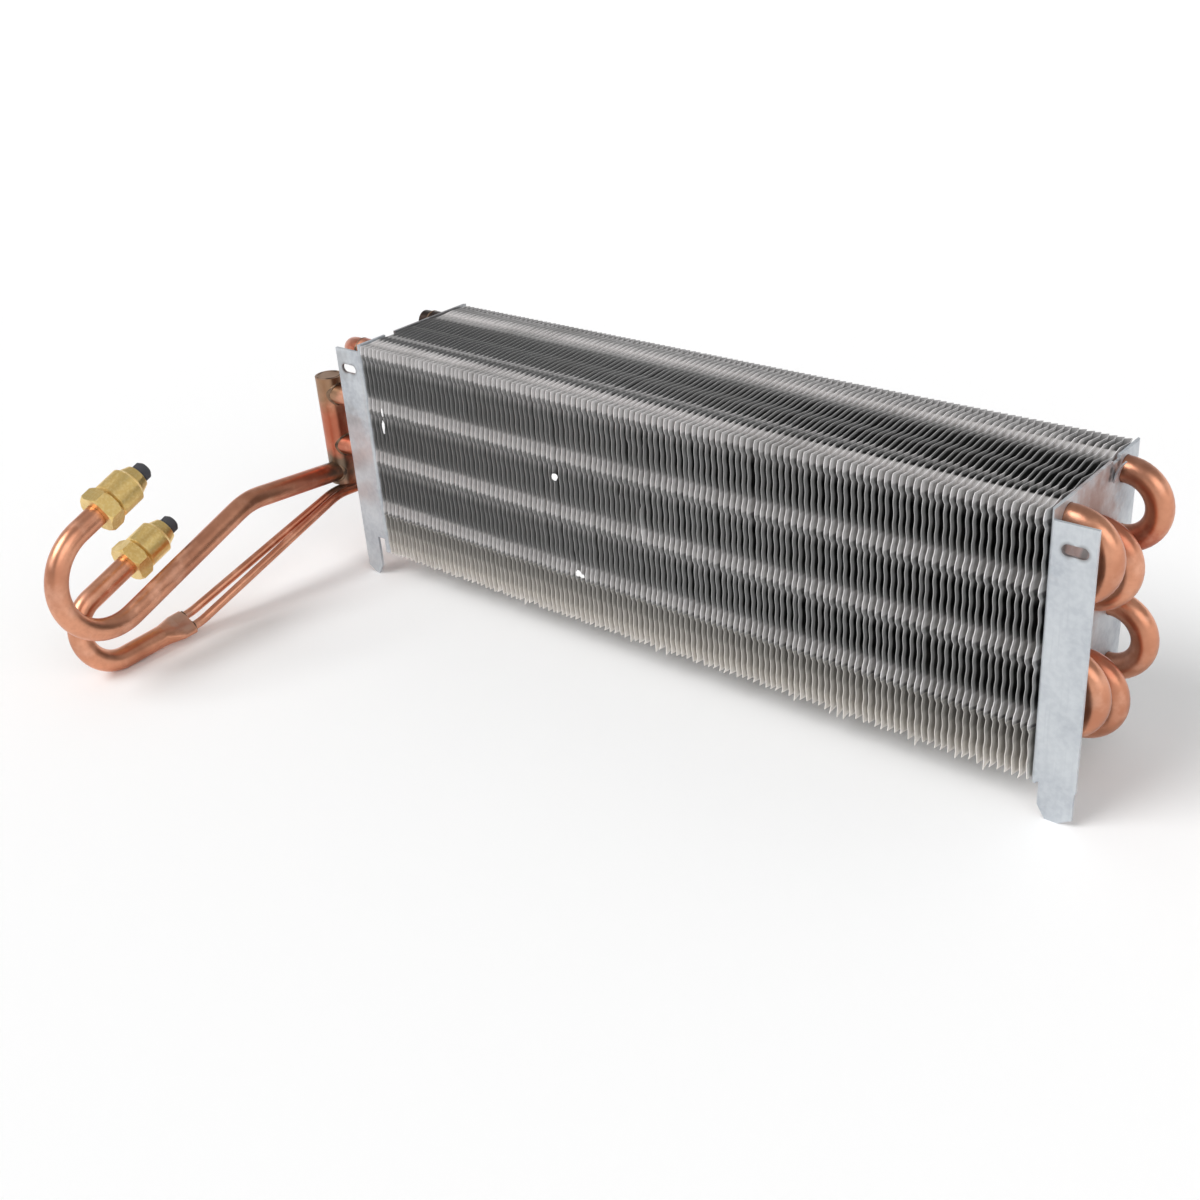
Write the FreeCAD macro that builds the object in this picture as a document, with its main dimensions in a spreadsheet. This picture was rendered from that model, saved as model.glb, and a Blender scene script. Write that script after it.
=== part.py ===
import FreeCAD, Part
import math
import os
import re

import Sketcher
from FreeCAD import Placement, Vector

# Evaporator core of a vehicle air conditioner: a fin pack on copper hairpin tubes between two
# bent end plates, with its return bends, suction header, suction line, liquid line, two thin
# distributor tubes and the fittings on the line ends.
#
# Frame: +X runs along the tubes from the header end to the hairpin bends, +Y from the front
# face to the back, +Z up. The origin is midway between the two slots in the front flanges, on
# the flanges' front face.

ROWS = 4
COLUMNS = 3

SIZES = (
    ("finned_length", 320, "fin pack, along the tubes"),
    ("fin_count", 120, "plates in the fin pack"),
    ("fin_gauge", 0.25, "fin sheet"),
    ("row_pitch", 25.4, "tubes of one column, centre to centre"),
    ("column_pitch", 22, "columns, centre to centre"),
    ("tube_diameter", 9.52, "outside of the coil tubes and of both lines"),
    ("tube_wall", 0.35, "wall of the hairpins"),
    ("fin_clearance", 0.1, "fin slot round a tube, on each side"),
    ("plate_gauge", 1.2, "sheet of the end plates"),
    ("sheet_bend", 0.8, "inside radius of the end plates' bends"),
    ("flange_depth", 16, "front flange, from the web's inner face to its free edge"),
    ("back_depth", 18, "back flange behind the fins, from the web's inner face to its free edge"),
    ("back_gap", 0.1, "back flange from the fins"),
    ("flange_drop", 3, "flange top below the fin top"),
    ("web_rise", 0.4, "web top above the fin top"),
    ("hole_clearance", 0.15, "end plate hole round a tube"),
    ("slot_rise", 89.6, "front flange slots above the bottom of the fins"),
    ("slot_inset", 8.9, "slot centre from the web's inner face"),
    ("slot_length", 9, "flange slot, along X"),
    ("slot_width", 4, "flange slot, upright"),
    ("tab_drop", 13, "foot tabs below the bottom of the fins"),
    ("chamfer_long", 5, "long leg of a tab's chamfers"),
    ("chamfer_short", 3, "short leg of a tab's chamfers"),
    ("right_tab_start", 3, "inner edge of the right front tab from the web's inner face"),
    ("right_tab_width", 12.5, "right front tab"),
    ("right_shoulder", 1, "full width of the right flanges ends above the fins' bottom"),
    ("left_tab_width", 9.5, "left front tab, flush with the flange's free edge"),
    ("left_shoulder", 7, "full width of the left flanges ends above the fins' bottom"),
    ("back_tab_start", 8, "inner edge of the back tabs from the web's inner face"),
    ("notch_inset", 44, "notch in the top of a web from the front face"),
    ("notch_width", 6, "notch in the top of a web"),
    ("notch_depth", 1.5, "notch in the top of a web"),
    ("bend_start", 0.3, "straight run past the right end plate, columns 2 and 3"),
    ("front_bend_start", 2, "straight run past the right end plate, column 1"),
    ("plate_standoff", 0.2, "cup flare from the left end plate"),
    ("cup_flare", 1.5, "length over which a tube widens to its cup"),
    ("cup_depth", 7.1, "cup that takes a return bend, stub or reducer"),
    ("cup_clearance", 0.05, "brazing gap in the cups, the header holes and the caps"),
    ("seat_gap", 0.1, "end of an inserted tube from the bottom of its cup"),
    ("return_wall", 0.5, "wall of the return bends, the stubs and the reducers"),
    ("return_start", 1, "straight run of a return bend past its cup"),
    ("header_diameter", 12.7, "outside of the header"),
    ("header_wall", 1, "wall of the header"),
    ("header_offset", 38.4, "header axis from the left end of the fins"),
    ("header_bottom", 25, "header's lower end above the bottom of the fins"),
    ("header_top", 78, "header's upper end above the bottom of the fins"),
    ("stub_bite", 3, "end of an outlet stub from the header's axis"),
    ("suction_bite", 4, "end of the suction line from the header's axis"),
    ("plug_thickness", 1, "end plugs of the header"),
    ("line_wall", 0.8, "wall of both lines"),
    ("suction_rise", 30.7, "suction line's joint above the bottom of the fins"),
    ("suction_swing_angle", 4.5, "suction line's plane, turned from -Y toward +X"),
    ("suction_slope_angle", 7.2, "slope of the suction line's first run"),
    ("suction_run_a", 48.9, "suction line, header to first bend"),
    ("suction_angle_a", 25.6, "suction line's first bend, downward"),
    ("suction_radius_a", 32, "suction line's first bend"),
    ("suction_run_b", 66.8, "suction line, first to second bend"),
    ("suction_angle_b", 178.8, "suction line's second bend, upward"),
    ("suction_radius_b", 23.8, "suction line's second bend"),
    ("suction_run_c", 10.6, "suction line, second bend to nut"),
    ("liquid_offset", 38.4, "liquid line's start from the left end of the fins"),
    ("liquid_tip", 88.4, "flattened end in front of the front face"),
    ("liquid_rise", -6.6, "middle of the flattened end above the bottom of the fins"),
    ("liquid_tilt_angle", 13.2, "liquid line's plane, leaning toward -X"),
    ("liquid_slope_angle", 2.7, "slope of the liquid line's first run, downward"),
    ("liquid_run_a", 19, "liquid line, flattened end to bend"),
    ("liquid_angle", 163.5, "liquid line's bend, upward"),
    ("liquid_radius", 15.1, "liquid line's bend"),
    ("liquid_run_b", 21.9, "liquid line, bend to nut"),
    ("crimp_taper", 8, "length over which the liquid line flattens"),
    ("crimp_length", 6, "flat length at the end of the liquid line"),
    ("crimp_width", 14, "flattened end"),
    ("crimp_height", 6, "flattened end"),
    ("crimp_angle", 39, "flattened end, turned about the line from its plane"),
    ("crimp_wall", 0.5, "wall of the flattened end"),
    ("thin_diameter", 4, "outside of the distributor tubes"),
    ("thin_wall", 0.6, "wall of the distributor tubes"),
    ("thin_spread", 7, "distributor tubes in the flattened end, centre to centre"),
    ("thin_gap", 4.4, "distributor tubes under the header, centre to centre"),
    ("thin_insert", 5, "distributor tubes in the flattened end, and in the tapered reducer"),
    ("thin_under", 0.6, "distributor tubes below the header"),
    ("thin_inset", 1.7, "upper distributor tube from the header's axis, toward the coil"),
    ("thin_gentle_bend", 24, "distributor tubes' bends in front of the header"),
    ("thin_riser_bend", 12, "upper distributor tube's bend to its upright run"),
    ("thin_top_bend", 8, "upper distributor tube's bend to its run toward the coil"),
    ("thin_entry_bend", 6, "upper distributor tube's bend up into its reducer"),
    ("thin_drop", 12.75, "upper distributor tube's run toward the coil below its reducer's axis"),
    ("thin_bite", 3.25, "end of the upper distributor tube from its reducer's axis"),
    ("thin_low_bend", 6, "lower distributor tube's bend into its reducer"),
    ("thin_lead", 4, "straight run of a distributor tube past the flattened end"),
    ("reducer_body", 12, "tapered reducer, full width"),
    ("reducer_taper", 4, "tapered reducer, tapered length"),
    ("reducer_nose", 6, "tapered reducer, narrow length"),
    ("closed_length", 13.5, "closed reducer"),
    ("closed_chamfer", 1, "chamfer round the closed reducer's end"),
    ("closed_entry", 9.5, "distributor tube's entry from the closed reducer's open end"),
    ("nut_across", 16.6, "union nut, across flats"),
    ("nut_length", 7, "union nut"),
    ("nut_corner", 8.5, "radius where the nut's corners start to be cut back"),
    ("nut_slope", 1.2, "length over which the nut's corners are cut back"),
    ("fitting_clearance", 0.1, "bores of nuts and couplings round the line"),
    ("coupling_diameter", 16.2, "coupling body"),
    ("coupling_length", 13, "coupling body, full width"),
    ("coupling_round", 1.4, "rounding of the coupling body's ends"),
    ("coupling_taper", 4, "coupling body's tapered nose"),
    ("nose_diameter", 10.6, "coupling body's nose"),
    ("nose_bore", 6.4, "bore through the coupling body's nose"),
    ("socket_depth", 5, "end of a line inside its coupling"),
    ("cap_diameter", 8, "dust cap's head"),
    ("cap_length", 5, "dust cap's head"),
    ("cap_chamfer", 1.1, "chamfer round the dust cap's head"),
    ("cap_stem", 6, "dust cap's stem in the nose bore"),
    ("cap_clearance", 0.1, "dust cap's stem in the nose bore"),
)
NAMES = {name for name, value, meaning in SIZES}

LEFT = "(-finned_length/2)"
RIGHT = "(finned_length/2)"
BOTTOM = "(-slot_rise)"
FIN_DEPTH = f"(column_pitch*{COLUMNS})"
FIN_HEIGHT = f"(row_pitch*{ROWS})"
FIN_PITCH = "(finned_length/fin_count)"
TUBE_RADIUS = "(tube_diameter/2)"
CUP_RADIUS = "(tube_diameter/2 + cup_clearance)"
CUP_BOTTOM = "(plate_gauge + plate_standoff + cup_flare)"
HEADER_X = "(-finned_length/2 - header_offset)"
THIN_SEAT = "(thin_diameter/2 + cup_clearance)"

doc = FreeCAD.newDocument("EvaporatorCore")
sheet = doc.addObject("Spreadsheet::Sheet", "Sizes")
sub_parts = []


def fill_sheet():
    """Writes every driving size into the sheet under its own alias."""
    for row, (name, value, meaning) in enumerate(SIZES, start=1):
        sheet.set(f"A{row}", name)
        sheet.set(f"B{row}", str(value))
        sheet.set(f"C{row}", meaning)
        sheet.setAlias(f"B{row}", name)
    doc.recompute()


def bound(formula):
    """Turns a formula in size names into an expression on the sheet."""
    return re.sub(r"\w+", lambda word: f"Sizes.{word[0]}" if word[0] in NAMES else word[0], str(formula))


def number(formula):
    """The present value of a formula in size names."""
    result = sheet.evalExpression(bound(formula))
    return float(getattr(result, "Value", result))


def bind(item, prop, formula):
    item.setExpression(prop, bound(formula))


def place(item, x, y, z, yaw=0, pitch=0, roll=0):
    bind(item, "Placement", f"placement(vector({x}; {y}; {z}); rotation({yaw}; {pitch}; {roll}))")


def tube_y(column):
    return f"(column_pitch*{column - 0.5})"


def tube_rise(column, row):
    """Height of a tube above the bottom of the fins: column 2 sits half a pitch lower."""
    share = 0.75 if column == 2 else 0.25
    return f"(row_pitch*{ROWS - row + 1 - share})"


def new_body(name):
    body = doc.addObject("PartDesign::Body", name)
    body.Label = name
    sub_parts.append(body)
    return body


def new_feature(body, kind, name):
    return body.newObject(f"PartDesign::{kind}", f"{body.Name}_{name}")


def new_sketch(body, role, name, offset=0, turn=0):
    """A sketch on one of the body's origin planes, moved along its normal and turned on it."""
    sketch = body.newObject("Sketcher::SketchObject", f"{body.Name}_{name}")
    plane = next(item for item in body.Origin.OriginFeatures if item.Role == role)
    sketch.AttachmentSupport = [(plane, "")]
    sketch.MapMode = "FlatFace"
    bind(sketch, "AttachmentOffset", f"placement(vector(0; 0; {offset}); rotation({turn}; 0; 0))")
    return sketch


def constrain(sketch, formula, kind, *where):
    """A dimension of a sketch that follows a formula."""
    value = number(formula)
    if kind == "Angle":
        value = math.radians(value)
    index = sketch.addConstraint(Sketcher.Constraint(kind, *where, value))
    bind(sketch, f"Constraints[{index}]", formula)


def pin(sketch, geometry, point, x, y):
    """Fixes a point of a sketch at two distances from the sketch's origin."""
    constrain(sketch, x, "DistanceX", -1, 1, geometry, point)
    constrain(sketch, y, "DistanceY", -1, 1, geometry, point)


def draw_outline(sketch, corners):
    """A closed outline of straight lines through the corners, given as pairs of formulas."""
    points = [Vector(number(x), number(y), 0) for x, y in corners]
    first = sketch.GeometryCount
    for start, end in zip(points, points[1:] + points[:1]):
        sketch.addGeometry(Part.LineSegment(start, end), False)
    for index, (x, y) in enumerate(corners):
        before = first + (index - 1) % len(corners)
        sketch.addConstraint(Sketcher.Constraint("Coincident", before, 2, first + index, 1))
        pin(sketch, first + index, 1, x, y)


def draw_rectangle(sketch, x0, y0, x1, y1):
    draw_outline(sketch, [(x0, y0), (x1, y0), (x1, y1), (x0, y1)])


def draw_circle(sketch, x, y, radius):
    centre = Vector(number(x), number(y), 0)
    circle = sketch.addGeometry(Part.Circle(centre, Vector(0, 0, 1), number(radius)), False)
    pin(sketch, circle, 3, x, y)
    constrain(sketch, radius, "Radius", circle)


def draw_oval(sketch, width, height):
    """An ellipse round the sketch's origin, its long axis along the sketch's X."""
    major = Vector(number(f"({width})/2"), 0, 0)
    minor = Vector(0, number(f"({height})/2"), 0)
    oval = sketch.addGeometry(Part.Ellipse(major, minor, Vector(0, 0, 0)), False)
    sketch.exposeInternalGeometry(oval)
    long_axis = oval + 1
    short_axis = oval + 2
    sketch.addConstraint(Sketcher.Constraint("Coincident", oval, 3, -1, 1))
    sketch.addConstraint(Sketcher.Constraint("Horizontal", long_axis))
    constrain(sketch, width, "Distance", long_axis)
    constrain(sketch, height, "Distance", short_axis)


def draw_slot(sketch, x, y, length, width):
    """A round-ended slot, its long side along the sketch's X."""
    reach = f"(({length}) - ({width}))/2"
    radius = number(f"({width})/2")
    up = Vector(0, radius, 0)
    left = Vector(number(f"({x}) - {reach}"), number(y), 0)
    right = Vector(number(f"({x}) + {reach}"), number(y), 0)
    normal = Vector(0, 0, 1)
    quarter = math.pi / 2
    left_end = Part.Circle(left, normal, radius)
    right_end = Part.Circle(right, normal, radius)
    west = sketch.addGeometry(Part.ArcOfCircle(left_end, quarter, 3 * quarter), False)
    south = sketch.addGeometry(Part.LineSegment(left - up, right - up), False)
    east = sketch.addGeometry(Part.ArcOfCircle(right_end, -quarter, quarter), False)
    north = sketch.addGeometry(Part.LineSegment(right + up, left + up), False)
    for one, other in ((west, south), (south, east), (east, north), (north, west)):
        sketch.addConstraint(Sketcher.Constraint("Tangent", one, 2, other, 1))
    pin(sketch, west, 3, f"({x}) - {reach}", y)
    pin(sketch, east, 3, f"({x}) + {reach}", y)
    constrain(sketch, f"({width})/2", "Radius", west)


def pad(body, sketch, length, name, reverse=False):
    feature = new_feature(body, "Pad", name)
    feature.Profile = sketch
    bind(feature, "Length", length)
    feature.Reversed = reverse
    body.Tip = feature
    return feature


def cut_through(body, sketch, name):
    """Cuts a sketch's outlines out of the whole body, both ways from the sketch."""
    before = solid_volume(body)
    feature = new_feature(body, "Pocket", name)
    feature.Profile = sketch
    feature.Type = "ThroughAll"
    feature.SideType = "Symmetric"
    body.Tip = feature
    require_smaller(body, before)


def pocket(body, sketch, depth, name, reverse=False):
    before = solid_volume(body)
    feature = new_feature(body, "Pocket", name)
    feature.Profile = sketch
    bind(feature, "Length", depth)
    feature.Reversed = reverse
    body.Tip = feature
    require_smaller(body, before)


def drill(body, name, radius, height, x, y, z, yaw=0, pitch=0):
    """Cuts a cylinder out of the body: it starts at the point and runs along its turned Z."""
    before = solid_volume(body)
    hole = new_feature(body, "SubtractiveCylinder", name)
    bind(hole, "Radius", radius)
    bind(hole, "Height", height)
    place(hole, x, y, z, yaw, pitch)
    body.Tip = hole
    require_smaller(body, before)


def revolve(body, sketch, name, kind="Revolution"):
    """Turns a sketch's outlines about the sketch's X axis."""
    feature = new_feature(body, kind, name)
    feature.Profile = sketch
    feature.ReferenceAxis = (sketch, ["H_Axis"])
    feature.Angle = 360
    body.Tip = feature
    return feature


def solid_volume(body):
    doc.recompute()
    return body.Shape.Volume


def require_smaller(body, before):
    if solid_volume(body) >= before:
        raise ValueError(f"a cut of {body.Label} removed nothing")


def vertical_edges(shape, x, y):
    """Names of the upright straight edges that stand at one place."""
    names = []
    for index, edge in enumerate(shape.Edges, start=1):
        start, end = edge.Vertexes[0].Point, edge.Vertexes[-1].Point
        upright = abs(start.x - end.x) + abs(start.y - end.y) < 1e-6
        if upright and math.hypot(start.x - x, start.y - y) < 1e-4:
            names.append(f"Edge{index}")
    return names


def round_uprights(body, places, radius, name):
    doc.recompute()
    before = body.Tip
    edges = []
    for x, y in places:
        edges += vertical_edges(before.Shape, number(x), number(y))
    fillet = new_feature(body, "Fillet", name)
    fillet.Base = (before, edges)
    bind(fillet, "Radius", radius)
    body.Tip = fillet
    doc.recompute()


# Planar bends: a route is a list of (run, turn, radius), turned in the body's XZ plane. A turn
# is positive toward +Z, and the last run has no turn.


def route_end(route):
    """Formulas for the place and heading at the end of a route that starts along +X."""
    x, z, heading = "0", "0", "0"
    for run, turn, radius in route:
        x = f"{x} + ({run})*cos({heading})"
        z = f"{z} + ({run})*sin({heading})"
        if turn is None:
            continue
        turned = f"({heading} + {turn})"
        side = 1 if number(turn) > 0 else -1
        x = f"{x} + {side}*({radius})*(sin({turned}) - sin({heading}))"
        z = f"{z} - {side}*({radius})*(cos({turned}) - cos({heading}))"
        heading = turned
    return x, z, heading


def draw_route(sketch, route):
    """Lines and tangent arcs of a route, each run, turn and radius a dimension."""
    point = Vector(0, 0, 0)
    heading = 0.0
    last = None
    for run, turn, radius in route:
        direction = Vector(math.cos(heading), math.sin(heading), 0)
        end = point + direction * number(run)
        line = sketch.addGeometry(Part.LineSegment(point, end), False)
        constrain(sketch, run, "Distance", line)
        if last is None:
            sketch.addConstraint(Sketcher.Constraint("Coincident", line, 1, -1, 1))
            sketch.addConstraint(Sketcher.Constraint("Horizontal", line))
        else:
            sketch.addConstraint(Sketcher.Constraint("Tangent", last[0], last[1], line, 1))
        if turn is None:
            return
        side = 1 if number(turn) > 0 else -1
        sweep = math.radians(abs(number(turn)))
        bend = number(radius)
        centre = end + Vector(-math.sin(heading), math.cos(heading), 0) * side * bend
        angle = heading - side * math.pi / 2
        low, high = (angle, angle + sweep) if side > 0 else (angle - sweep, angle)
        circle = Part.Circle(centre, Vector(0, 0, 1), bend)
        arc = sketch.addGeometry(Part.ArcOfCircle(circle, low, high), False)
        near, far = (1, 2) if side > 0 else (2, 1)
        sketch.addConstraint(Sketcher.Constraint("Tangent", line, 2, arc, near))
        constrain(sketch, radius, "Radius", arc)
        constrain(sketch, f"{side}*({turn})", "Angle", arc)
        heading += side * sweep
        point = centre + Vector(math.cos(angle + side * sweep), math.sin(angle + side * sweep), 0) * bend
        last = (arc, far)


def bent_tube(body, route, wall):
    """A round tube along a planar route that starts at the body's origin along +X."""
    path = new_sketch(body, "XZ_Plane", "route")
    draw_route(path, route)
    ring = new_sketch(body, "YZ_Plane", "section")
    draw_circle(ring, "0", "0", TUBE_RADIUS)
    draw_circle(ring, "0", "0", f"{TUBE_RADIUS} - ({wall})")
    doc.recompute()
    tube = new_feature(body, "AdditivePipe", "tube")
    tube.Profile = ring
    tube.Spine = (path, [])
    body.Tip = tube
    doc.recompute()
    return path


def fin_pack():
    """The finned block: one plate with a slot for each column of tubes, repeated."""
    body = new_body("fins")
    section = new_sketch(body, "YZ_Plane", "plate")
    draw_rectangle(section, "0", "0", FIN_DEPTH, FIN_HEIGHT)
    half = f"({TUBE_RADIUS} + fin_clearance)"
    for column in range(1, COLUMNS + 1):
        y = tube_y(column)
        low = tube_rise(column, ROWS)
        high = tube_rise(column, 1)
        draw_rectangle(section, f"{y} - {half}", f"{low} - {half}", f"{y} + {half}", f"{high} + {half}")
    plate = pad(body, section, "fin_gauge", "first")
    doc.recompute()
    pattern = new_feature(body, "LinearPattern", "pack")
    pattern.Originals = [plate]
    pattern.Direction = (section, ["N_Axis"])
    bind(pattern, "Length", f"finned_length - {FIN_PITCH}")
    bind(pattern, "Occurrences", "fin_count")
    body.Tip = pattern
    place(body, f"{LEFT} + {FIN_PITCH}/2 - fin_gauge/2", 0, BOTTOM)


def end_plate(name, front_at_zero, tab_start, tab_end, shoulder):
    """A sheet bent into a Z: tubes pass its web, and each flange ends in a foot tab.

    In its own frame the web's inner face is at x 0 and z 0 is level with the bottom of the
    fins. The front flange runs toward +X, away from the fins, and the back flange toward -X,
    behind them. The front face is at y 0, or at the fins' depth with the back toward -Y.
    """
    body = new_body(name)
    top = f"({FIN_HEIGHT} + web_rise)"
    back = f"({FIN_DEPTH} + back_gap)"

    def behind(distance):
        return distance if front_at_zero else f"({FIN_DEPTH} - ({distance}))"

    section = new_sketch(body, "XY_Plane", "section", offset="-tab_drop")
    draw_outline(section, [
        ("0", behind("0")),
        ("flange_depth", behind("0")),
        ("flange_depth", behind("plate_gauge")),
        ("plate_gauge", behind("plate_gauge")),
        ("plate_gauge", behind(f"{back} + plate_gauge")),
        ("-back_depth", behind(f"{back} + plate_gauge")),
        ("-back_depth", behind(back)),
        ("0", behind(back)),
    ])
    pad(body, section, f"{top} + tab_drop", "sheet")
    inner = [("plate_gauge", behind("plate_gauge")), ("0", behind(back))]
    outer = [("0", behind("0")), ("plate_gauge", behind(f"{back} + plate_gauge"))]
    round_uprights(body, inner, "sheet_bend", "inner_bends")
    round_uprights(body, outer, "sheet_bend + plate_gauge", "outer_bends")

    edges = new_sketch(body, "XZ_Plane", "edges")
    beyond = "(flange_depth + 1)"
    behind_fins = "(-back_depth - 1)"
    below = "(-tab_drop - 1)"
    draw_rectangle(edges, "plate_gauge", f"{FIN_HEIGHT} - flange_drop", beyond, f"{top} + 1")
    draw_rectangle(edges, behind_fins, f"{FIN_HEIGHT} - flange_drop", "0", f"{top} + 1")
    draw_outline(edges, [
        ("-sheet_bend", "0"),
        ("plate_gauge + sheet_bend", "0"),
        ("plate_gauge + sheet_bend", shoulder),
        (tab_start, shoulder),
        (tab_start, "-tab_drop + chamfer_long"),
        (f"{tab_start} + chamfer_short", "-tab_drop"),
        (f"{tab_start} + chamfer_short", below),
        ("-back_tab_start - chamfer_short", below),
        ("-back_tab_start - chamfer_short", "-tab_drop"),
        ("-back_tab_start", "-tab_drop + chamfer_long"),
        ("-back_tab_start", shoulder),
        ("-sheet_bend", shoulder),
    ])
    draw_outline(edges, [
        (tab_end, shoulder),
        (beyond, shoulder),
        (beyond, below),
        (f"{tab_end} - chamfer_long", below),
        (f"{tab_end} - chamfer_long", "-tab_drop"),
        (tab_end, "-tab_drop + chamfer_short"),
    ])
    draw_outline(edges, [
        ("-back_depth", "-tab_drop + chamfer_short"),
        (behind_fins, "-tab_drop + chamfer_short"),
        (behind_fins, below),
        ("-back_depth + chamfer_short", below),
        ("-back_depth + chamfer_short", "-tab_drop"),
    ])
    draw_slot(edges, "slot_inset", "slot_rise", "slot_length", "slot_width")
    cut_through(body, edges, "edges")

    web = new_sketch(body, "YZ_Plane", "web")
    for column in range(1, COLUMNS + 1):
        for row in range(1, ROWS + 1):
            draw_circle(web, tube_y(column), tube_rise(column, row), f"{TUBE_RADIUS} + hole_clearance")
    draw_rectangle(web, "notch_inset", f"{top} - notch_depth", "notch_inset + notch_width", f"{top} + 1")
    cut_through(body, web, "web")
    return body


def hairpin(column, lower_row, past_plate):
    """One tube of two legs and a bend, with a cup at the open end of each leg."""
    upper_row = lower_row - 1
    body = new_body(f"hairpin_{column}_{upper_row}_{lower_row}")
    leg = f"plate_gauge + plate_standoff + finned_length + plate_gauge + {past_plate}"
    path = bent_tube(body, [(leg, "180", "row_pitch/2"), (leg, None, None)], "tube_wall")

    cup = new_sketch(body, "XZ_Plane", "cup")
    flare = "-cup_flare"
    mouth = "-cup_flare - cup_depth"
    draw_outline(cup, [
        ("0", f"{TUBE_RADIUS} - tube_wall"),
        (flare, CUP_RADIUS),
        (mouth, CUP_RADIUS),
        (mouth, f"{CUP_RADIUS} + tube_wall"),
        (flare, f"{CUP_RADIUS} + tube_wall"),
        ("0", TUBE_RADIUS),
    ])
    first = revolve(body, cup, "cup")
    doc.recompute()
    both = new_feature(body, "LinearPattern", "cups")
    both.Originals = [first]
    both.Direction = (path, ["V_Axis"])
    bind(both, "Length", "row_pitch")
    both.Occurrences = 2
    body.Tip = both
    x = f"{LEFT} - plate_gauge - plate_standoff"
    place(body, x, tube_y(column), f"{BOTTOM} + {tube_rise(column, lower_row)}")


def return_bend(column, row, next_row):
    """A U bend from a cup of one column to the nearest cup of the next column."""
    body = new_body(f"return_bend_{column}_{row}")
    leg = "cup_depth - seat_gap + return_start"
    span = "sqrt(column_pitch^2 + (row_pitch/2)^2)"
    bent_tube(body, [(leg, "180", f"{span}/2"), (leg, None, None)], "return_wall")
    climb = f"({tube_rise(column + 1, next_row)} - {tube_rise(column, row)})"
    x = f"{LEFT} - {CUP_BOTTOM} - seat_gap"
    z = f"{BOTTOM} + {tube_rise(column, row)}"
    place(body, x, tube_y(column), z, 180, 0, f"atan2(column_pitch; {climb})")


def outlet_stub(row):
    """A straight tube from a cup of the front column into the header."""
    body = new_body(f"outlet_stub_{row}")
    ring = new_sketch(body, "YZ_Plane", "section")
    draw_circle(ring, "0", "0", TUBE_RADIUS)
    draw_circle(ring, "0", "0", f"{TUBE_RADIUS} - return_wall")
    pad(body, ring, f"header_offset - stub_bite - {CUP_BOTTOM} - seat_gap", "tube")
    x = f"{LEFT} - {CUP_BOTTOM} - seat_gap"
    place(body, x, tube_y(1), f"{BOTTOM} + {tube_rise(1, row)}", 180)


def inlet_reducer(row):
    """A body that fills a cup of the back column and takes a distributor tube."""
    body = new_body(f"inlet_reducer_{row}")
    x = f"{LEFT} - {CUP_BOTTOM} - seat_gap"
    place(body, x, tube_y(COLUMNS), f"{BOTTOM} + {tube_rise(COLUMNS, row)}", 180)
    return body


def tapered_reducer(row):
    """Narrows to take its distributor tube in its end."""
    body = inlet_reducer(row)
    half = new_sketch(body, "XZ_Plane", "half_section")
    shoulder = "reducer_body"
    neck = "reducer_body + reducer_taper"
    tip = "reducer_body + reducer_taper + reducer_nose"
    draw_outline(half, [
        ("0", f"{TUBE_RADIUS} - return_wall"),
        (shoulder, f"{TUBE_RADIUS} - return_wall"),
        (neck, THIN_SEAT),
        (tip, THIN_SEAT),
        (tip, f"{THIN_SEAT} + return_wall"),
        (neck, f"{THIN_SEAT} + return_wall"),
        (shoulder, TUBE_RADIUS),
        ("0", TUBE_RADIUS),
    ])
    revolve(body, half, "shell")


def closed_reducer(row):
    """A stub with a closed end, which takes its distributor tube from below."""
    body = inlet_reducer(row)
    half = new_sketch(body, "XZ_Plane", "half_section")
    bore = f"{TUBE_RADIUS} - return_wall"
    floor = "closed_length - return_wall"
    draw_outline(half, [
        ("0", bore),
        (f"{floor} - closed_chamfer", bore),
        (floor, f"{bore} - closed_chamfer"),
        (floor, "0"),
        ("closed_length", "0"),
        ("closed_length", f"{TUBE_RADIUS} - closed_chamfer"),
        ("closed_length - closed_chamfer", TUBE_RADIUS),
        ("0", TUBE_RADIUS),
    ])
    revolve(body, half, "shell")
    drill(body, "entry", THIN_SEAT, "tube_diameter", "closed_entry", 0, "-tube_diameter")


def suction_header():
    """An upright pipe with a hole for each outlet stub and one for the suction line."""
    body = new_body("suction_header")
    ring = new_sketch(body, "XY_Plane", "section")
    draw_circle(ring, "0", "0", "header_diameter/2")
    draw_circle(ring, "0", "0", "header_diameter/2 - header_wall")
    pad(body, ring, "header_top - header_bottom", "pipe")
    for row in (2, 3):
        rise = f"{tube_rise(1, row)} - header_bottom"
        drill(body, f"outlet_{row}", CUP_RADIUS, "header_diameter", 0, 0, rise, 0, 90)
    rise = "suction_rise - header_bottom"
    drill(body, "suction", CUP_RADIUS, "header_diameter", 0, 0, rise,
          "suction_swing_angle - 90", "90 - suction_slope_angle")
    place(body, HEADER_X, tube_y(1), f"{BOTTOM} + header_bottom")


def header_plug(name, height):
    """A flat plug set flush in one end of the header."""
    body = new_body(name)
    disc = new_sketch(body, "XY_Plane", "disc")
    draw_circle(disc, "0", "0", "header_diameter/2 - header_wall - cup_clearance")
    pad(body, disc, "plug_thickness", "plug")
    place(body, HEADER_X, tube_y(1), f"{BOTTOM} + {height}")


SUCTION_ROUTE = [
    ("suction_run_a", "-suction_angle_a", "suction_radius_a"),
    ("suction_run_b", "suction_angle_b", "suction_radius_b"),
]
LIQUID_ROUTE = [
    ("liquid_run_a", "liquid_angle", "liquid_radius"),
]


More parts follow.
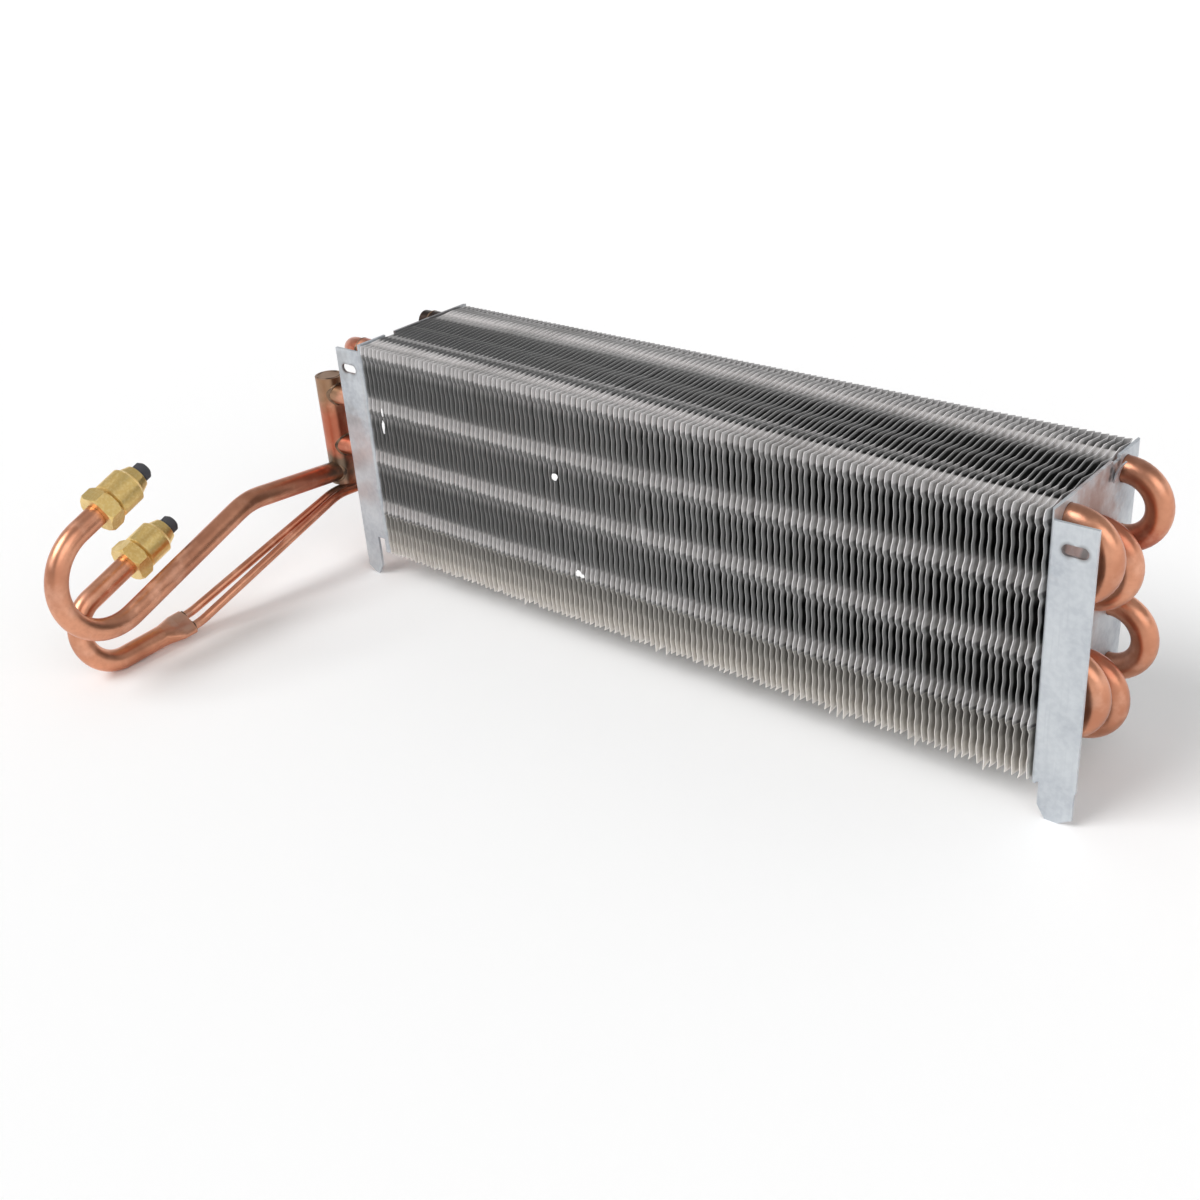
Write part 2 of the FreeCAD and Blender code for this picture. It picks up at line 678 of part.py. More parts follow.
def suction_line():
    """From the header forward and down, then up and back over itself to its fitting."""
    body = new_body("suction_line")
    route = SUCTION_ROUTE + [("suction_run_c + nut_length + socket_depth", None, None)]
    bent_tube(body, route, "line_wall")
    x = f"{HEADER_X} + suction_bite*sin(suction_swing_angle)"
    y = f"{tube_y(1)} - suction_bite*cos(suction_swing_angle)"
    z = f"{BOTTOM} + suction_rise + suction_bite*tan(suction_slope_angle)"
    place(body, x, y, z, "suction_swing_angle - 90", "-suction_slope_angle")
    return body


def liquid_line():
    """A hook of pipe: one end flattened for the distributor tubes, the other in its fitting."""
    body = new_body("liquid_line")
    route = LIQUID_ROUTE + [("liquid_run_b + nut_length + socket_depth", None, None)]
    bent_tube(body, route, "line_wall")
    outer = ("tube_diameter", "crimp_width", "crimp_height")
    inner = ("tube_diameter - 2*line_wall", "crimp_width - 2*crimp_wall", "crimp_height - 2*crimp_wall")
    for kind, (bore, width, height) in (("Additive", outer), ("Subtractive", inner)):
        before = solid_volume(body)
        round_end = new_sketch(body, "YZ_Plane", f"round_{kind}", turn="-crimp_angle")
        draw_circle(round_end, "0", "0", f"({bore})/2")
        flat_end = new_sketch(body, "YZ_Plane", f"flat_{kind}", offset="-crimp_taper", turn="-crimp_angle")
        draw_oval(flat_end, width, height)
        doc.recompute()
        loft = new_feature(body, f"{kind}Loft", f"taper_{kind}")
        loft.Profile = round_end
        loft.Sections = [flat_end]
        body.Tip = loft
        if kind == "Additive":
            pad(body, flat_end, "crimp_length", "flat_outside", reverse=True)
        else:
            require_smaller(body, before)
            pocket(body, flat_end, "crimp_length", "flat_inside")
    flattened = "(crimp_length + crimp_taper)"
    x = f"{LEFT} - liquid_offset"
    y = f"-liquid_tip - {flattened}*cos(liquid_slope_angle)"
    z = f"{BOTTOM} + liquid_rise - {flattened}*sin(liquid_slope_angle)"
    place(body, x, y, z, -90, "liquid_slope_angle", "liquid_tilt_angle")
    return body


def place_on_line(item, line, route, last_run, along):
    """Puts an item on the axis of a line, some way past the end of its last free run."""
    x, z, heading = route_end(route + [(last_run, None, None)])
    x = f"{x} + ({along})*cos({heading})"
    z = f"{z} + ({along})*sin({heading})"
    local = f"placement(vector({x}; 0; {z}); rotation(0; -({heading}); 0))"
    item.setExpression("Placement", f"{line.Name}.Placement * {bound(local)}")


def union_nut(name):
    """A hexagon with its corners cut back at both ends."""
    body = new_body(name)
    section = new_sketch(body, "YZ_Plane", "section")
    corner = "nut_across/2/cos(30)"
    draw_outline(section, [(f"{corner}*cos({60 * k})", f"{corner}*sin({60 * k})") for k in range(6)])
    draw_circle(section, "0", "0", f"{TUBE_RADIUS} + fitting_clearance")
    pad(body, section, "nut_length", "hexagon")
    before = solid_volume(body)
    corners = new_sketch(body, "XZ_Plane", "corners")
    rim = f"(2*{corner} - nut_corner)"
    draw_outline(corners, [("0", "nut_corner"), ("2*nut_slope", rim), ("0", rim)])
    draw_outline(corners, [
        ("nut_length", "nut_corner"),
        ("nut_length", rim),
        ("nut_length - 2*nut_slope", rim),
    ])
    revolve(body, corners, "corner_cuts", "Groove")
    require_smaller(body, before)
    return body


def coupling(name):
    """A turned body that holds the line's end, with a tapered nose toward the dust cap."""
    body = new_body(name)
    half = new_sketch(body, "XZ_Plane", "half_section")
    wide = "coupling_diameter/2"
    neck = "coupling_length"
    tip = "coupling_length + coupling_taper"
    draw_outline(half, [
        ("0", f"{TUBE_RADIUS} + fitting_clearance"),
        ("0", f"{wide} - coupling_round"),
        ("coupling_round", wide),
        (f"{neck} - coupling_round", wide),
        (neck, f"{wide} - coupling_round"),
        (tip, "nose_diameter/2"),
        (tip, "nose_bore/2"),
        ("socket_depth + seat_gap", "nose_bore/2"),
        ("socket_depth + seat_gap", f"{TUBE_RADIUS} + fitting_clearance"),
    ])
    revolve(body, half, "turned")
    return body


def dust_cap(name):
    """A plug: its stem sits in the nose bore and its head on the nose's end."""
    body = new_body(name)
    half = new_sketch(body, "XZ_Plane", "half_section")
    stem = "nose_bore/2 - cap_clearance"
    head = "cap_diameter/2"
    draw_outline(half, [
        ("-cap_stem", "0"),
        ("-cap_stem", stem),
        ("0", stem),
        ("0", head),
        ("cap_length - cap_chamfer", head),
        ("cap_length", f"{head} - cap_chamfer"),
        ("cap_length", "0"),
    ])
    revolve(body, half, "plug")
    return body


def fittings(prefix, line, route, last_run):
    """The nut, coupling and dust cap at the end of a line, each seated on the one before."""
    place_on_line(union_nut(f"{prefix}_union_nut"), line, route, last_run, "0")
    place_on_line(coupling(f"{prefix}_coupling"), line, route, last_run, "nut_length")
    cap_start = "nut_length + coupling_length + coupling_taper"
    place_on_line(dust_cap(f"{prefix}_dust_cap"), line, route, last_run, cap_start)


def rounded_path(points, radii):
    """Straight runs through the points, with a tangent arc at each inner point."""
    edges = []
    start = points[0]
    for before, corner, after, radius in zip(points, points[1:], points[2:], radii):
        back = (before - corner).normalize()
        ahead = (after - corner).normalize()
        half_turn = (math.pi - back.getAngle(ahead)) / 2
        cut = radius * math.tan(half_turn)
        middle = (back + ahead).normalize()
        centre = corner + middle * (radius / math.cos(half_turn))
        enter = corner + back * cut
        leave = corner + ahead * cut
        edges.append(Part.LineSegment(start, enter).toShape())
        edges.append(Part.Arc(enter, centre - middle * radius, leave).toShape())
        start = leave
    edges.append(Part.LineSegment(start, points[-1]).toShape())
    return Part.Wire(edges)


def distributor_tube(name, points, radii):
    """A thin tube swept along a route of runs and arcs in space."""
    path = rounded_path(points, radii)
    heading = points[1] - points[0]
    solids = []
    for radius in (number("thin_diameter/2"), number("thin_diameter/2 - thin_wall")):
        circle = Part.Wire(Part.Circle(points[0], heading, radius).toShape())
        solids.append(path.makePipeShell([circle], True, False))
    tube = doc.addObject("Part::Feature", name)
    tube.Label = name
    tube.Shape = solids[0].cut(solids[1])
    tube.Placement = Placement()
    sub_parts.append(tube)
    section = math.pi * (number("thin_diameter/2") ** 2 - number("thin_diameter/2 - thin_wall") ** 2)
    if abs(tube.Shape.Volume / (section * path.Length) - 1) > 0.01:
        raise ValueError(f"{name} is not a sound sweep")


def distributor_tubes(line):
    """From the flattened end of the line, under the header, to the back column's reducers."""
    doc.recompute()
    frame = line.Placement
    crimp = frame.multVec(Vector(-number("crimp_length + crimp_taper"), 0, 0))
    outward = frame.Rotation.multVec(Vector(-1, 0, 0))
    turned = math.radians(number("crimp_angle"))
    side = frame.Rotation.multVec(Vector(0, math.cos(turned), -math.sin(turned))) * number("thin_spread/2")
    insert = outward * number("thin_insert")
    lead = outward * number("thin_lead")
    under = number(f"{BOTTOM} + header_bottom - thin_under - thin_diameter/2")
    front = number(f"{tube_y(1)} - header_diameter/2 - thin_diameter")
    back = number(tube_y(COLUMNS))
    cup = number(f"{LEFT} - {CUP_BOTTOM} - seat_gap")
    gentle = number("thin_gentle_bend")

    x = number(f"{HEADER_X} + thin_inset")
    rise = number(f"{BOTTOM} + {tube_rise(COLUMNS, 1)}")
    entry = cup - number("closed_entry")
    run = rise - number("thin_drop")
    distributor_tube("distributor_tube_upper", [
        crimp - side - insert,
        crimp - side + lead,
        Vector(x, front, under),
        Vector(x, back, under),
        Vector(x, back, run),
        Vector(entry, back, run),
        Vector(entry, back, rise - number("thin_bite")),
    ], [gentle, gentle, number("thin_riser_bend"), number("thin_top_bend"), number("thin_entry_bend")])

    x = number(f"{HEADER_X} + thin_inset + thin_gap")
    rise = number(f"{BOTTOM} + {tube_rise(COLUMNS, ROWS)}")
    mouth = cup - number("reducer_body + reducer_taper + reducer_nose - thin_insert")
    distributor_tube("distributor_tube_lower", [
        crimp + side - insert,
        crimp + side + lead,
        Vector(x, front, under),
        Vector(x, back, rise),
        Vector(mouth, back, rise),
    ], [gentle, gentle, number("thin_low_bend")])


def build():
    fill_sheet()
    fin_pack()
    inner_edge = "(flange_depth - left_tab_width)"
    left = end_plate("left_end_plate", False, inner_edge, "flange_depth", "left_shoulder")
    place(left, LEFT, FIN_DEPTH, BOTTOM, 180)
    outer_edge = "(right_tab_start + right_tab_width)"
    right = end_plate("right_end_plate", True, "right_tab_start", outer_edge, "right_shoulder")
    place(right, RIGHT, 0, BOTTOM)
    for column in range(1, COLUMNS + 1):
        past_plate = "front_bend_start" if column == 1 else "bend_start"
        hairpin(column, 2, past_plate)
        hairpin(column, 4, past_plate)
    return_bend(1, 1, 1)
    return_bend(2, 2, 2)
    return_bend(1, 4, 4)
    return_bend(2, 3, 3)
    outlet_stub(2)
    outlet_stub(3)
    closed_reducer(1)
    tapered_reducer(ROWS)
    suction_header()
    header_plug("header_plug_top", "header_top - plug_thickness")
    header_plug("header_plug_bottom", "header_bottom")
    fittings("suction", suction_line(), SUCTION_ROUTE, "suction_run_c")
    liquid = liquid_line()
    fittings("liquid", liquid, LIQUID_ROUTE, "liquid_run_b")
    distributor_tubes(liquid)
    doc.recompute()


def check():
    """Stops before anything is written if an object of the document failed."""
    for item in doc.Objects:
        if "Invalid" in item.State or "Error" in item.State:
            raise ValueError(f"{item.Label} failed: {item.State}")
    for part in sub_parts:
        if part.Shape.isNull() or not part.Shape.isValid():
            raise ValueError(f"{part.Label} has no sound shape")


def export():
    os.makedirs("parts", exist_ok=True)
    for part in sub_parts:
        part.Shape.exportStep(f"parts/{part.Label}.step")
        print(f"{part.Label}: {len(part.Shape.Solids)} solid(s), {part.Shape.Volume:.0f} mm3")


build()
check()
export()
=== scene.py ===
import math
import random

import bpy
from bpy.props import FloatProperty, FloatVectorProperty, IntProperty, PointerProperty
from mathutils import Matrix, Vector


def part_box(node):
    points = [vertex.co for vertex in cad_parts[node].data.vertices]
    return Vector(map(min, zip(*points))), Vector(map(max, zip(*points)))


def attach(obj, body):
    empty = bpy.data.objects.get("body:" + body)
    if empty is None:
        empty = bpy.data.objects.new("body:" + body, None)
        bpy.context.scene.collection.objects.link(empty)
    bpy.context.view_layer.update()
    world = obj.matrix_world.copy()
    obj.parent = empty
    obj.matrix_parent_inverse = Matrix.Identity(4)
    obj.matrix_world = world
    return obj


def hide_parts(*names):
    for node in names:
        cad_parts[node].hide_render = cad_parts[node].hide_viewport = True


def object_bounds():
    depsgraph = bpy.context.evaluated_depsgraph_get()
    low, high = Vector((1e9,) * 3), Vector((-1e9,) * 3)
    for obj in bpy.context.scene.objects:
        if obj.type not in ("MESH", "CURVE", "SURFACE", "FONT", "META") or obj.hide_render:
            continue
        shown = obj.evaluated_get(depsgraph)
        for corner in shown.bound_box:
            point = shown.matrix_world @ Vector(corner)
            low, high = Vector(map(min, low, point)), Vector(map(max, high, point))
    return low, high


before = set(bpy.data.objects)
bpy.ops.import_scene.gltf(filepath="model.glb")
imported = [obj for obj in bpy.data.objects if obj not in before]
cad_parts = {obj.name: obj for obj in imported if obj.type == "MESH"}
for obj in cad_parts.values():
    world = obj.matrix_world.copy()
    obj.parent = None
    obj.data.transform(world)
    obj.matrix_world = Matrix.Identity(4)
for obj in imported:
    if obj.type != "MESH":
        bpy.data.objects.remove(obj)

bl_info = {
    "name": "Evaporator Core",
    "version": (1, 0, 0),
    "blender": (4, 5, 0),
    "location": "View3D > Sidebar > Evaporator",
    "description": "Dresses a packed evaporator core: rippled fins, brazed joints, finishes and a stage",
    "category": "Object",
}

MM = 0.001
CAD_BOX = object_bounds()
FINS_LOW, FINS_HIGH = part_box("fins")
FLOOR_Z = CAD_BOX[0].z
FIN_GAUGE = 0.25 * MM
ROWS = 4
COLUMNS = 3
ROW_PITCH = 25.4 * MM
COLUMN_PITCH = 22 * MM
COLUMN_Y = [COLUMN_PITCH * (n + 0.5) for n in range(COLUMNS)]
# Height of the foot of the pack, dust-tinted and with its own painted light bands, which ends where the
# first row pitch of painted bands begins.
BAND_RISE = 20.0 * MM
CUP_MOUTH_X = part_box("hairpin_1_1_2")[0].x
# Upper end of every phase that is drawn: about a full turn.
FULL_TURN = 6.28


def tube_z(column, row):
    """Height of a tube's axis: the middle column sits half a pitch lower."""
    share = 0.75 if column == 1 else 0.25
    return FINS_LOW.z + ROW_PITCH * (ROWS - row - share)


# Joints, in millimetres: centre, axis, radius of the tube in it, thickness of its fillet.
TUBE_RADIUS = 4.76
PLUG_RADIUS = 5.1
THIN_RADIUS = 2.0
HEADER_RADIUS = 6.35
CUP_FILLET = 0.42
HEADER_PLUGS = (
    ((-198.4, 11.0, -11.7), (0, 0, 1), PLUG_RADIUS, 0.35),
    ((-198.4, 11.0, -64.5), (0, 0, -1), PLUG_RADIUS, 0.35),
)
HEADER_SIDES = (
    ((-192.05, 11.0, -19.75), (1, 0, 0), TUBE_RADIUS, 0.50),
    ((-192.05, 11.0, -45.15), (1, 0, 0), TUBE_RADIUS, 0.50),
    ((-197.9, 4.72, -58.1), (0.0778, -0.989, 0.1253), TUBE_RADIUS, 0.50),
)
CRIMP_AXIS = (0.0, 0.9989, 0.0471)
THIN_JOINTS = (
    ((-201.55, -87.9, -94.66), CRIMP_AXIS, THIN_RADIUS, 0.35),
    ((-195.25, -87.9, -97.70), CRIMP_AXIS, THIN_RADIUS, 0.35),
    ((-185.2, 55.0, -70.55), (-1, 0, 0), THIN_RADIUS, 0.35),
    ((-172.5, 55.0, 0.85), (0, 0, -1), THIN_RADIUS, 0.40),
)
# The flattened end of the liquid line, in millimetres: its mouth, its long side, and its pool of
# alloy with width, height and bulge.
CRIMP = (-198.4, -88.6, -96.2)
CRIMP_LONG = (0.9003, 0.0205, -0.4347)
CRIMP_POOL = (12.8, 4.9, 1.0)
# Flecks on the front face, in millimetres: centre, half sizes.
FLECKS = (
    ((-48.7, -0.3, -24.7), (1.7, 0.6, 1.6)),
    ((-40.0, -0.3, -66.3), (1.6, 0.6, 1.5)),
    ((-38.3, -0.3, -66.9), (1.5, 0.5, 0.9)),
    ((-150.4, -0.4, -24.0), (0.8, 0.5, 3.5)),
    ((-150.0, -0.3, -17.0), (0.4, 0.4, 2.2)),
)


# Materials


# Painted light and shade, as brightness along one row pitch from the lower edge of a painted light band,
# over the foot of the pack, and across its top from the front edge to the back edge.
FRONT_LIGHT_BANDS = (
    (0.0, 0.24), (0.03, 0.32), (0.06, 1.0), (0.11, 0.95), (0.16, 0.80), (0.26, 0.76), (0.30, 0.22),
    (0.36, 0.07), (0.47, 0.0), (0.60, 0.03), (0.70, 0.03), (0.74, 0.0), (0.80, 0.0), (0.86, 0.14),
    (0.90, 0.30), (0.945, 0.32), (0.975, 0.14), (1.0, 0.24),
)
FOOT_LIGHT_BANDS = (
    (0.0, 0.92), (0.28, 0.88), (0.33, 0.66), (0.62, 0.60), (0.68, 0.34), (0.97, 0.28), (1.0, 0.7),
)
TOP_LIGHT_BANDS = (
    (0.0, 0.55), (0.07, 0.60), (0.10, 1.0), (0.165, 0.90), (0.19, 0.05), (0.235, 0.06), (0.25, 0.75),
    (0.28, 0.70), (0.30, 0.05), (0.46, 0.02), (0.485, 0.16), (0.51, 0.02), (0.69, 0.05), (0.71, 0.60),
    (0.775, 0.68), (0.80, 1.0), (0.865, 0.96), (0.89, 0.46), (0.97, 0.40), (1.0, 0.55),
)


def put(tree, socket, value):
    """Links a socket to another node's output, or sets its value."""
    if isinstance(value, bpy.types.NodeSocket):
        tree.links.new(value, socket)
    else:
        socket.default_value = value


def add_node(tree, kind, inputs=None, **settings):
    """Adds a node, sets its settings, and links or fills its inputs."""
    made = tree.nodes.new(kind)
    for name, value in settings.items():
        setattr(made, name, value)
    for key, value in (inputs or {}).items():
        put(tree, made.inputs[key], value)
    return made


def start_group(name, inputs, outputs):
    """A shader group with (name, kind, default) inputs and float outputs."""
    tree = bpy.data.node_groups.new(name, "ShaderNodeTree")
    for label, kind, default in inputs:
        socket = tree.interface.new_socket(label, in_out="INPUT", socket_type=kind)
        if default is not None:
            socket.default_value = default
    for label in outputs:
        tree.interface.new_socket(label, in_out="OUTPUT", socket_type="NodeSocketFloat")
    return tree, tree.nodes.new("NodeGroupInput").outputs, tree.nodes.new("NodeGroupOutput").inputs


def math_node(tree, operation, *values):
    return add_node(tree, "ShaderNodeMath", dict(enumerate(values)), operation=operation).outputs[0]


def faded(tree, value, start, end, kind="SMOOTHSTEP"):
    """A mask that goes from 0 at one value to 1 at the other."""
    made = add_node(tree, "ShaderNodeMapRange", {"Value": value, "From Min": start, "From Max": end},
                    interpolation_type=kind)
    return made.outputs["Result"]


def ranged(tree, mask, low, high):
    """A mask spread between two values, as for roughness."""
    made = add_node(tree, "ShaderNodeMapRange", {"Value": mask, "To Min": low, "To Max": high})
    return made.outputs["Result"]


def noise(tree, place, scale, detail):
    made = add_node(tree, "ShaderNodeTexNoise", {"Vector": place, "Scale": scale, "Detail": detail})
    return made.outputs["Fac"]


def mottle_group():
    """Soft patches: a noise drawn apart into a mask between two thresholds."""
    tree, inside, outside = start_group(
        "Mottle",
        [("Vector", "NodeSocketVector", None), ("Scale", "NodeSocketFloat", 100.0),
         ("Detail", "NodeSocketFloat", 3.0), ("Low", "NodeSocketFloat", 0.4),
         ("High", "NodeSocketFloat", 0.6)],
        ["Mask"],
    )
    cloud = noise(tree, inside["Vector"], inside["Scale"], inside["Detail"])
    tree.links.new(faded(tree, cloud, inside["Low"], inside["High"]), outside["Mask"])


# Noise and fade of a ragged patch: the noise's scale and detail, how far it shifts the rim for each
# unit of raggedness, and the shares of the radius between which the patch fades in.
RIM_NOISE = (220.0, 4.0)
RIM_SHIFT = 3.0
RIM_FADE = (1.15, 0.45)


def patch_group():
    """A patch round a point, with a ragged rim."""
    tree, inside, outside = start_group(
        "Ragged Patch",
        [("Vector", "NodeSocketVector", None), ("Centre", "NodeSocketVector", (0.0, 0.0, 0.0)),
         ("Radius", "NodeSocketFloat", 0.01), ("Raggedness", "NodeSocketFloat", 0.4)],
        ["Mask"],
    )
    away = add_node(tree, "ShaderNodeVectorMath", {0: inside["Vector"], 1: inside["Centre"]},
                    operation="DISTANCE").outputs["Value"]
    share = math_node(tree, "DIVIDE", away, inside["Radius"])
    sway = math_node(tree, "SUBTRACT", noise(tree, inside["Vector"], *RIM_NOISE), 0.5)
    shift = math_node(tree, "MULTIPLY", sway, math_node(tree, "MULTIPLY", inside["Raggedness"], RIM_SHIFT))
    tree.links.new(faded(tree, math_node(tree, "ADD", share, shift), *RIM_FADE), outside["Mask"])


def depth_group():
    """Depths in the fin pack: from its front or back face, and from its top or foot."""
    tree, inside, outside = start_group(
        "Pack Depth",
        [("Vector", "NodeSocketVector", None), ("Low", "NodeSocketVector", tuple(FINS_LOW)),
         ("High", "NodeSocketVector", tuple(FINS_HIGH))],
        ["Across", "Upright"],
    )
    split = {name: add_node(tree, "ShaderNodeSeparateXYZ", {0: inside[name]}).outputs
             for name in ("Vector", "Low", "High")}
    for axis, output in (("Y", "Across"), ("Z", "Upright")):
        above = math_node(tree, "SUBTRACT", split["Vector"][axis], split["Low"][axis])
        below = math_node(tree, "SUBTRACT", split["High"][axis], split["Vector"][axis])
        tree.links.new(math_node(tree, "MINIMUM", above, below), outside[output])


def start_material(name, metallic, roughness):
    """A material with its shader and the object's own coordinates."""
    material = bpy.data.materials.new(name)
    material.use_nodes = True
    tree = material.node_tree
    tree.nodes.clear()
    shader = add_node(tree, "ShaderNodeBsdfPrincipled", {"Metallic": metallic, "Roughness": roughness})
    add_node(tree, "ShaderNodeOutputMaterial", {"Surface": shader.outputs[0]})
    place = add_node(tree, "ShaderNodeTexCoord").outputs["Object"]
    return material, tree, shader, place


def placed_group(tree, name, inputs, output="Mask"):
    """An output of one of the groups, placed in a material."""
    made = add_node(tree, "ShaderNodeGroup", inputs, node_tree=bpy.data.node_groups[name])
    return made.outputs[output]


def mottle(tree, place, scale, low, high, detail=3.0):
    inputs = {"Vector": place, "Scale": scale, "Detail": detail, "Low": low, "High": high}
    return placed_group(tree, "Mottle", inputs)


def stretched(tree, place, squeeze):
    """Coordinates squeezed along Z, which draws a pattern out into upright streaks."""
    made = add_node(tree, "ShaderNodeMapping", {"Vector": place, "Scale": (1.0, 1.0, squeeze)})
    return made.outputs["Vector"]


# Sockets of a Mix node that mixes colours.
MIX_FACTOR = 0
MIX_COLOURS = (6, 7)
MIX_RESULT = 2


def blended(tree, mask, one, other, mode="MIX"):
    """Colour one where the mask is 0 and the other where it is 1."""
    made = add_node(tree, "ShaderNodeMix", {MIX_FACTOR: mask}, data_type="RGBA", blend_type=mode)
    for index, colour in zip(MIX_COLOURS, (one, other)):
        linked = isinstance(colour, bpy.types.NodeSocket)
        put(tree, made.inputs[index], colour if linked else (*colour, 1.0))
    return made.outputs[MIX_RESULT]


def tinted(tree, mask, share, colour, tint, mode="MIX"):
    """The colour, tinted by a share of the mask."""
    return blended(tree, math_node(tree, "MULTIPLY", mask, share), colour, tint, mode)


def ramp(tree, value, stops):
    """Greys of a ramp: stops are (position, grey)."""
    made = add_node(tree, "ShaderNodeValToRGB", {"Fac": value})
    band = made.color_ramp
    while len(band.elements) < len(stops):
        band.elements.new(0.5)
    for element, (position, grey) in zip(band.elements, stops):
        element.position = position
        element.color = (grey, grey, grey, 1.0)
    return made.outputs["Color"]


def set_bump(tree, shader, height, strength, distance):
    bump = add_node(tree, "ShaderNodeBump", {"Strength": strength, "Distance": distance, "Height": height})
    tree.links.new(bump.outputs["Normal"], shader.inputs["Normal"])


# Where the painted light and shade of the fins change, in millimetres: how far in an edge's colour gives
# way to the gap's painted shade, how far below the top and behind the front the painted bands of the top
# begin, the x from which the painted light and shade flatten towards the header end, and how far the bands
# wander up and down.
EDGE_FADES = (("Across", 1.1, 2.1), ("Upright", 0.5, 1.5))
TOP_FADE = (4.5, 3.0)
TOP_SETBACK = 3
FAR_SHADE_FROM_X = 40
BAND_WANDER = 1.6
# How much of the edges' colour lightens the painted shade deep between the fins, at the header end and in
# the foot.
FAR_GAP_VEIL = 0.75
FOOT_VEIL = 0.5
DUST_SHARE = 0.55
STAIN_SHARE = 0.22


def fin_material(colours):
    """Thin aluminium, its light and shade painted: painted highlights at the tube rows, greyer between
    them, and painted shade black down between the fins.
    """
    material, tree, shader, place = start_material("fin_aluminium", 0.45, 0.45)
    split = add_node(tree, "ShaderNodeSeparateXYZ", {0: place}).outputs
    # Depth in from the pack's faces, where the edges' colour gives way to the gaps' painted shade.
    inward = math_node(tree, "MINIMUM", *[
        faded(tree, placed_group(tree, "Pack Depth", {"Vector": place}, face), start * MM, end * MM)
        for face, start, end in EDGE_FADES
    ])

    # Painted light bands on the front face, one set per row pitch, with their own painted bands over the
    # foot.
    wander = math_node(tree, "SUBTRACT", noise(tree, stretched(tree, place, 0.15), 160.0, 2.0), 0.5)
    height = math_node(tree, "ADD", split["Z"], math_node(tree, "MULTIPLY", wander, BAND_WANDER * MM))
    above_foot = math_node(tree, "SUBTRACT", height, FINS_LOW.z + BAND_RISE)
    rows_up = math_node(tree, "ADD", math_node(tree, "DIVIDE", above_foot, ROW_PITCH), ROWS)
    rows = ramp(tree, math_node(tree, "FRACT", rows_up), FRONT_LIGHT_BANDS)
    foot_share = math_node(tree, "DIVIDE", math_node(tree, "SUBTRACT", height, FINS_LOW.z), BAND_RISE)
    foot = math_node(tree, "LESS_THAN", height, FINS_LOW.z + BAND_RISE)
    front = blended(tree, foot, rows, ramp(tree, foot_share, FOOT_LIGHT_BANDS))
    # Painted light bands across the top, from the front edge to the back edge.
    back_share = math_node(tree, "DIVIDE", math_node(tree, "SUBTRACT", split["Y"], FINS_LOW.y),
                           COLUMN_PITCH * COLUMNS)
    top = ramp(tree, back_share, TOP_LIGHT_BANDS)
    near_top = faded(tree, split["Z"], *[FINS_HIGH.z - depth * MM for depth in TOP_FADE], kind="LINEAR")
    behind = math_node(tree, "GREATER_THAN", split["Y"], FINS_LOW.y + TOP_SETBACK * MM)
    bright = blended(tree, math_node(tree, "MULTIPLY", near_top, behind), front, top)

    # Towards the header end the painted contrast flattens: darker edges and lighter gaps. The gaps in the
    # foot are painted lighter too.
    far = faded(tree, split["X"], FAR_SHADE_FROM_X * MM, FINS_LOW.x)
    edge = blended(tree, far, colours.edge_colour, colours.far_shade_colour)
    veil = math_node(tree, "MAXIMUM", math_node(tree, "MULTIPLY", far, FAR_GAP_VEIL),
                     math_node(tree, "MULTIPLY", foot, FOOT_VEIL))
    # Painted shade near black deep between the fins, painted light in the bands, and a painted highlight
    # on the edges at the tube rows.
    dark = blended(tree, veil, colours.gap_shade_colour, edge)
    gap = blended(tree, bright, dark, colours.band_light_colour)
    crest = blended(tree, bright, edge, colours.edge_highlight_colour)
    colour = blended(tree, inward, crest, gap)
    colour = tinted(tree, foot, DUST_SHARE, colour, colours.dust_colour, "MULTIPLY")
    stain = mottle(tree, place, 28.0, 0.48, 0.75)
    colour = tinted(tree, stain, STAIN_SHARE, colour, colours.stain_colour)
    tree.links.new(colour, shader.inputs["Base Color"])
    tree.links.new(ranged(tree, stain, 0.40, 0.55), shader.inputs["Roughness"])
    return material


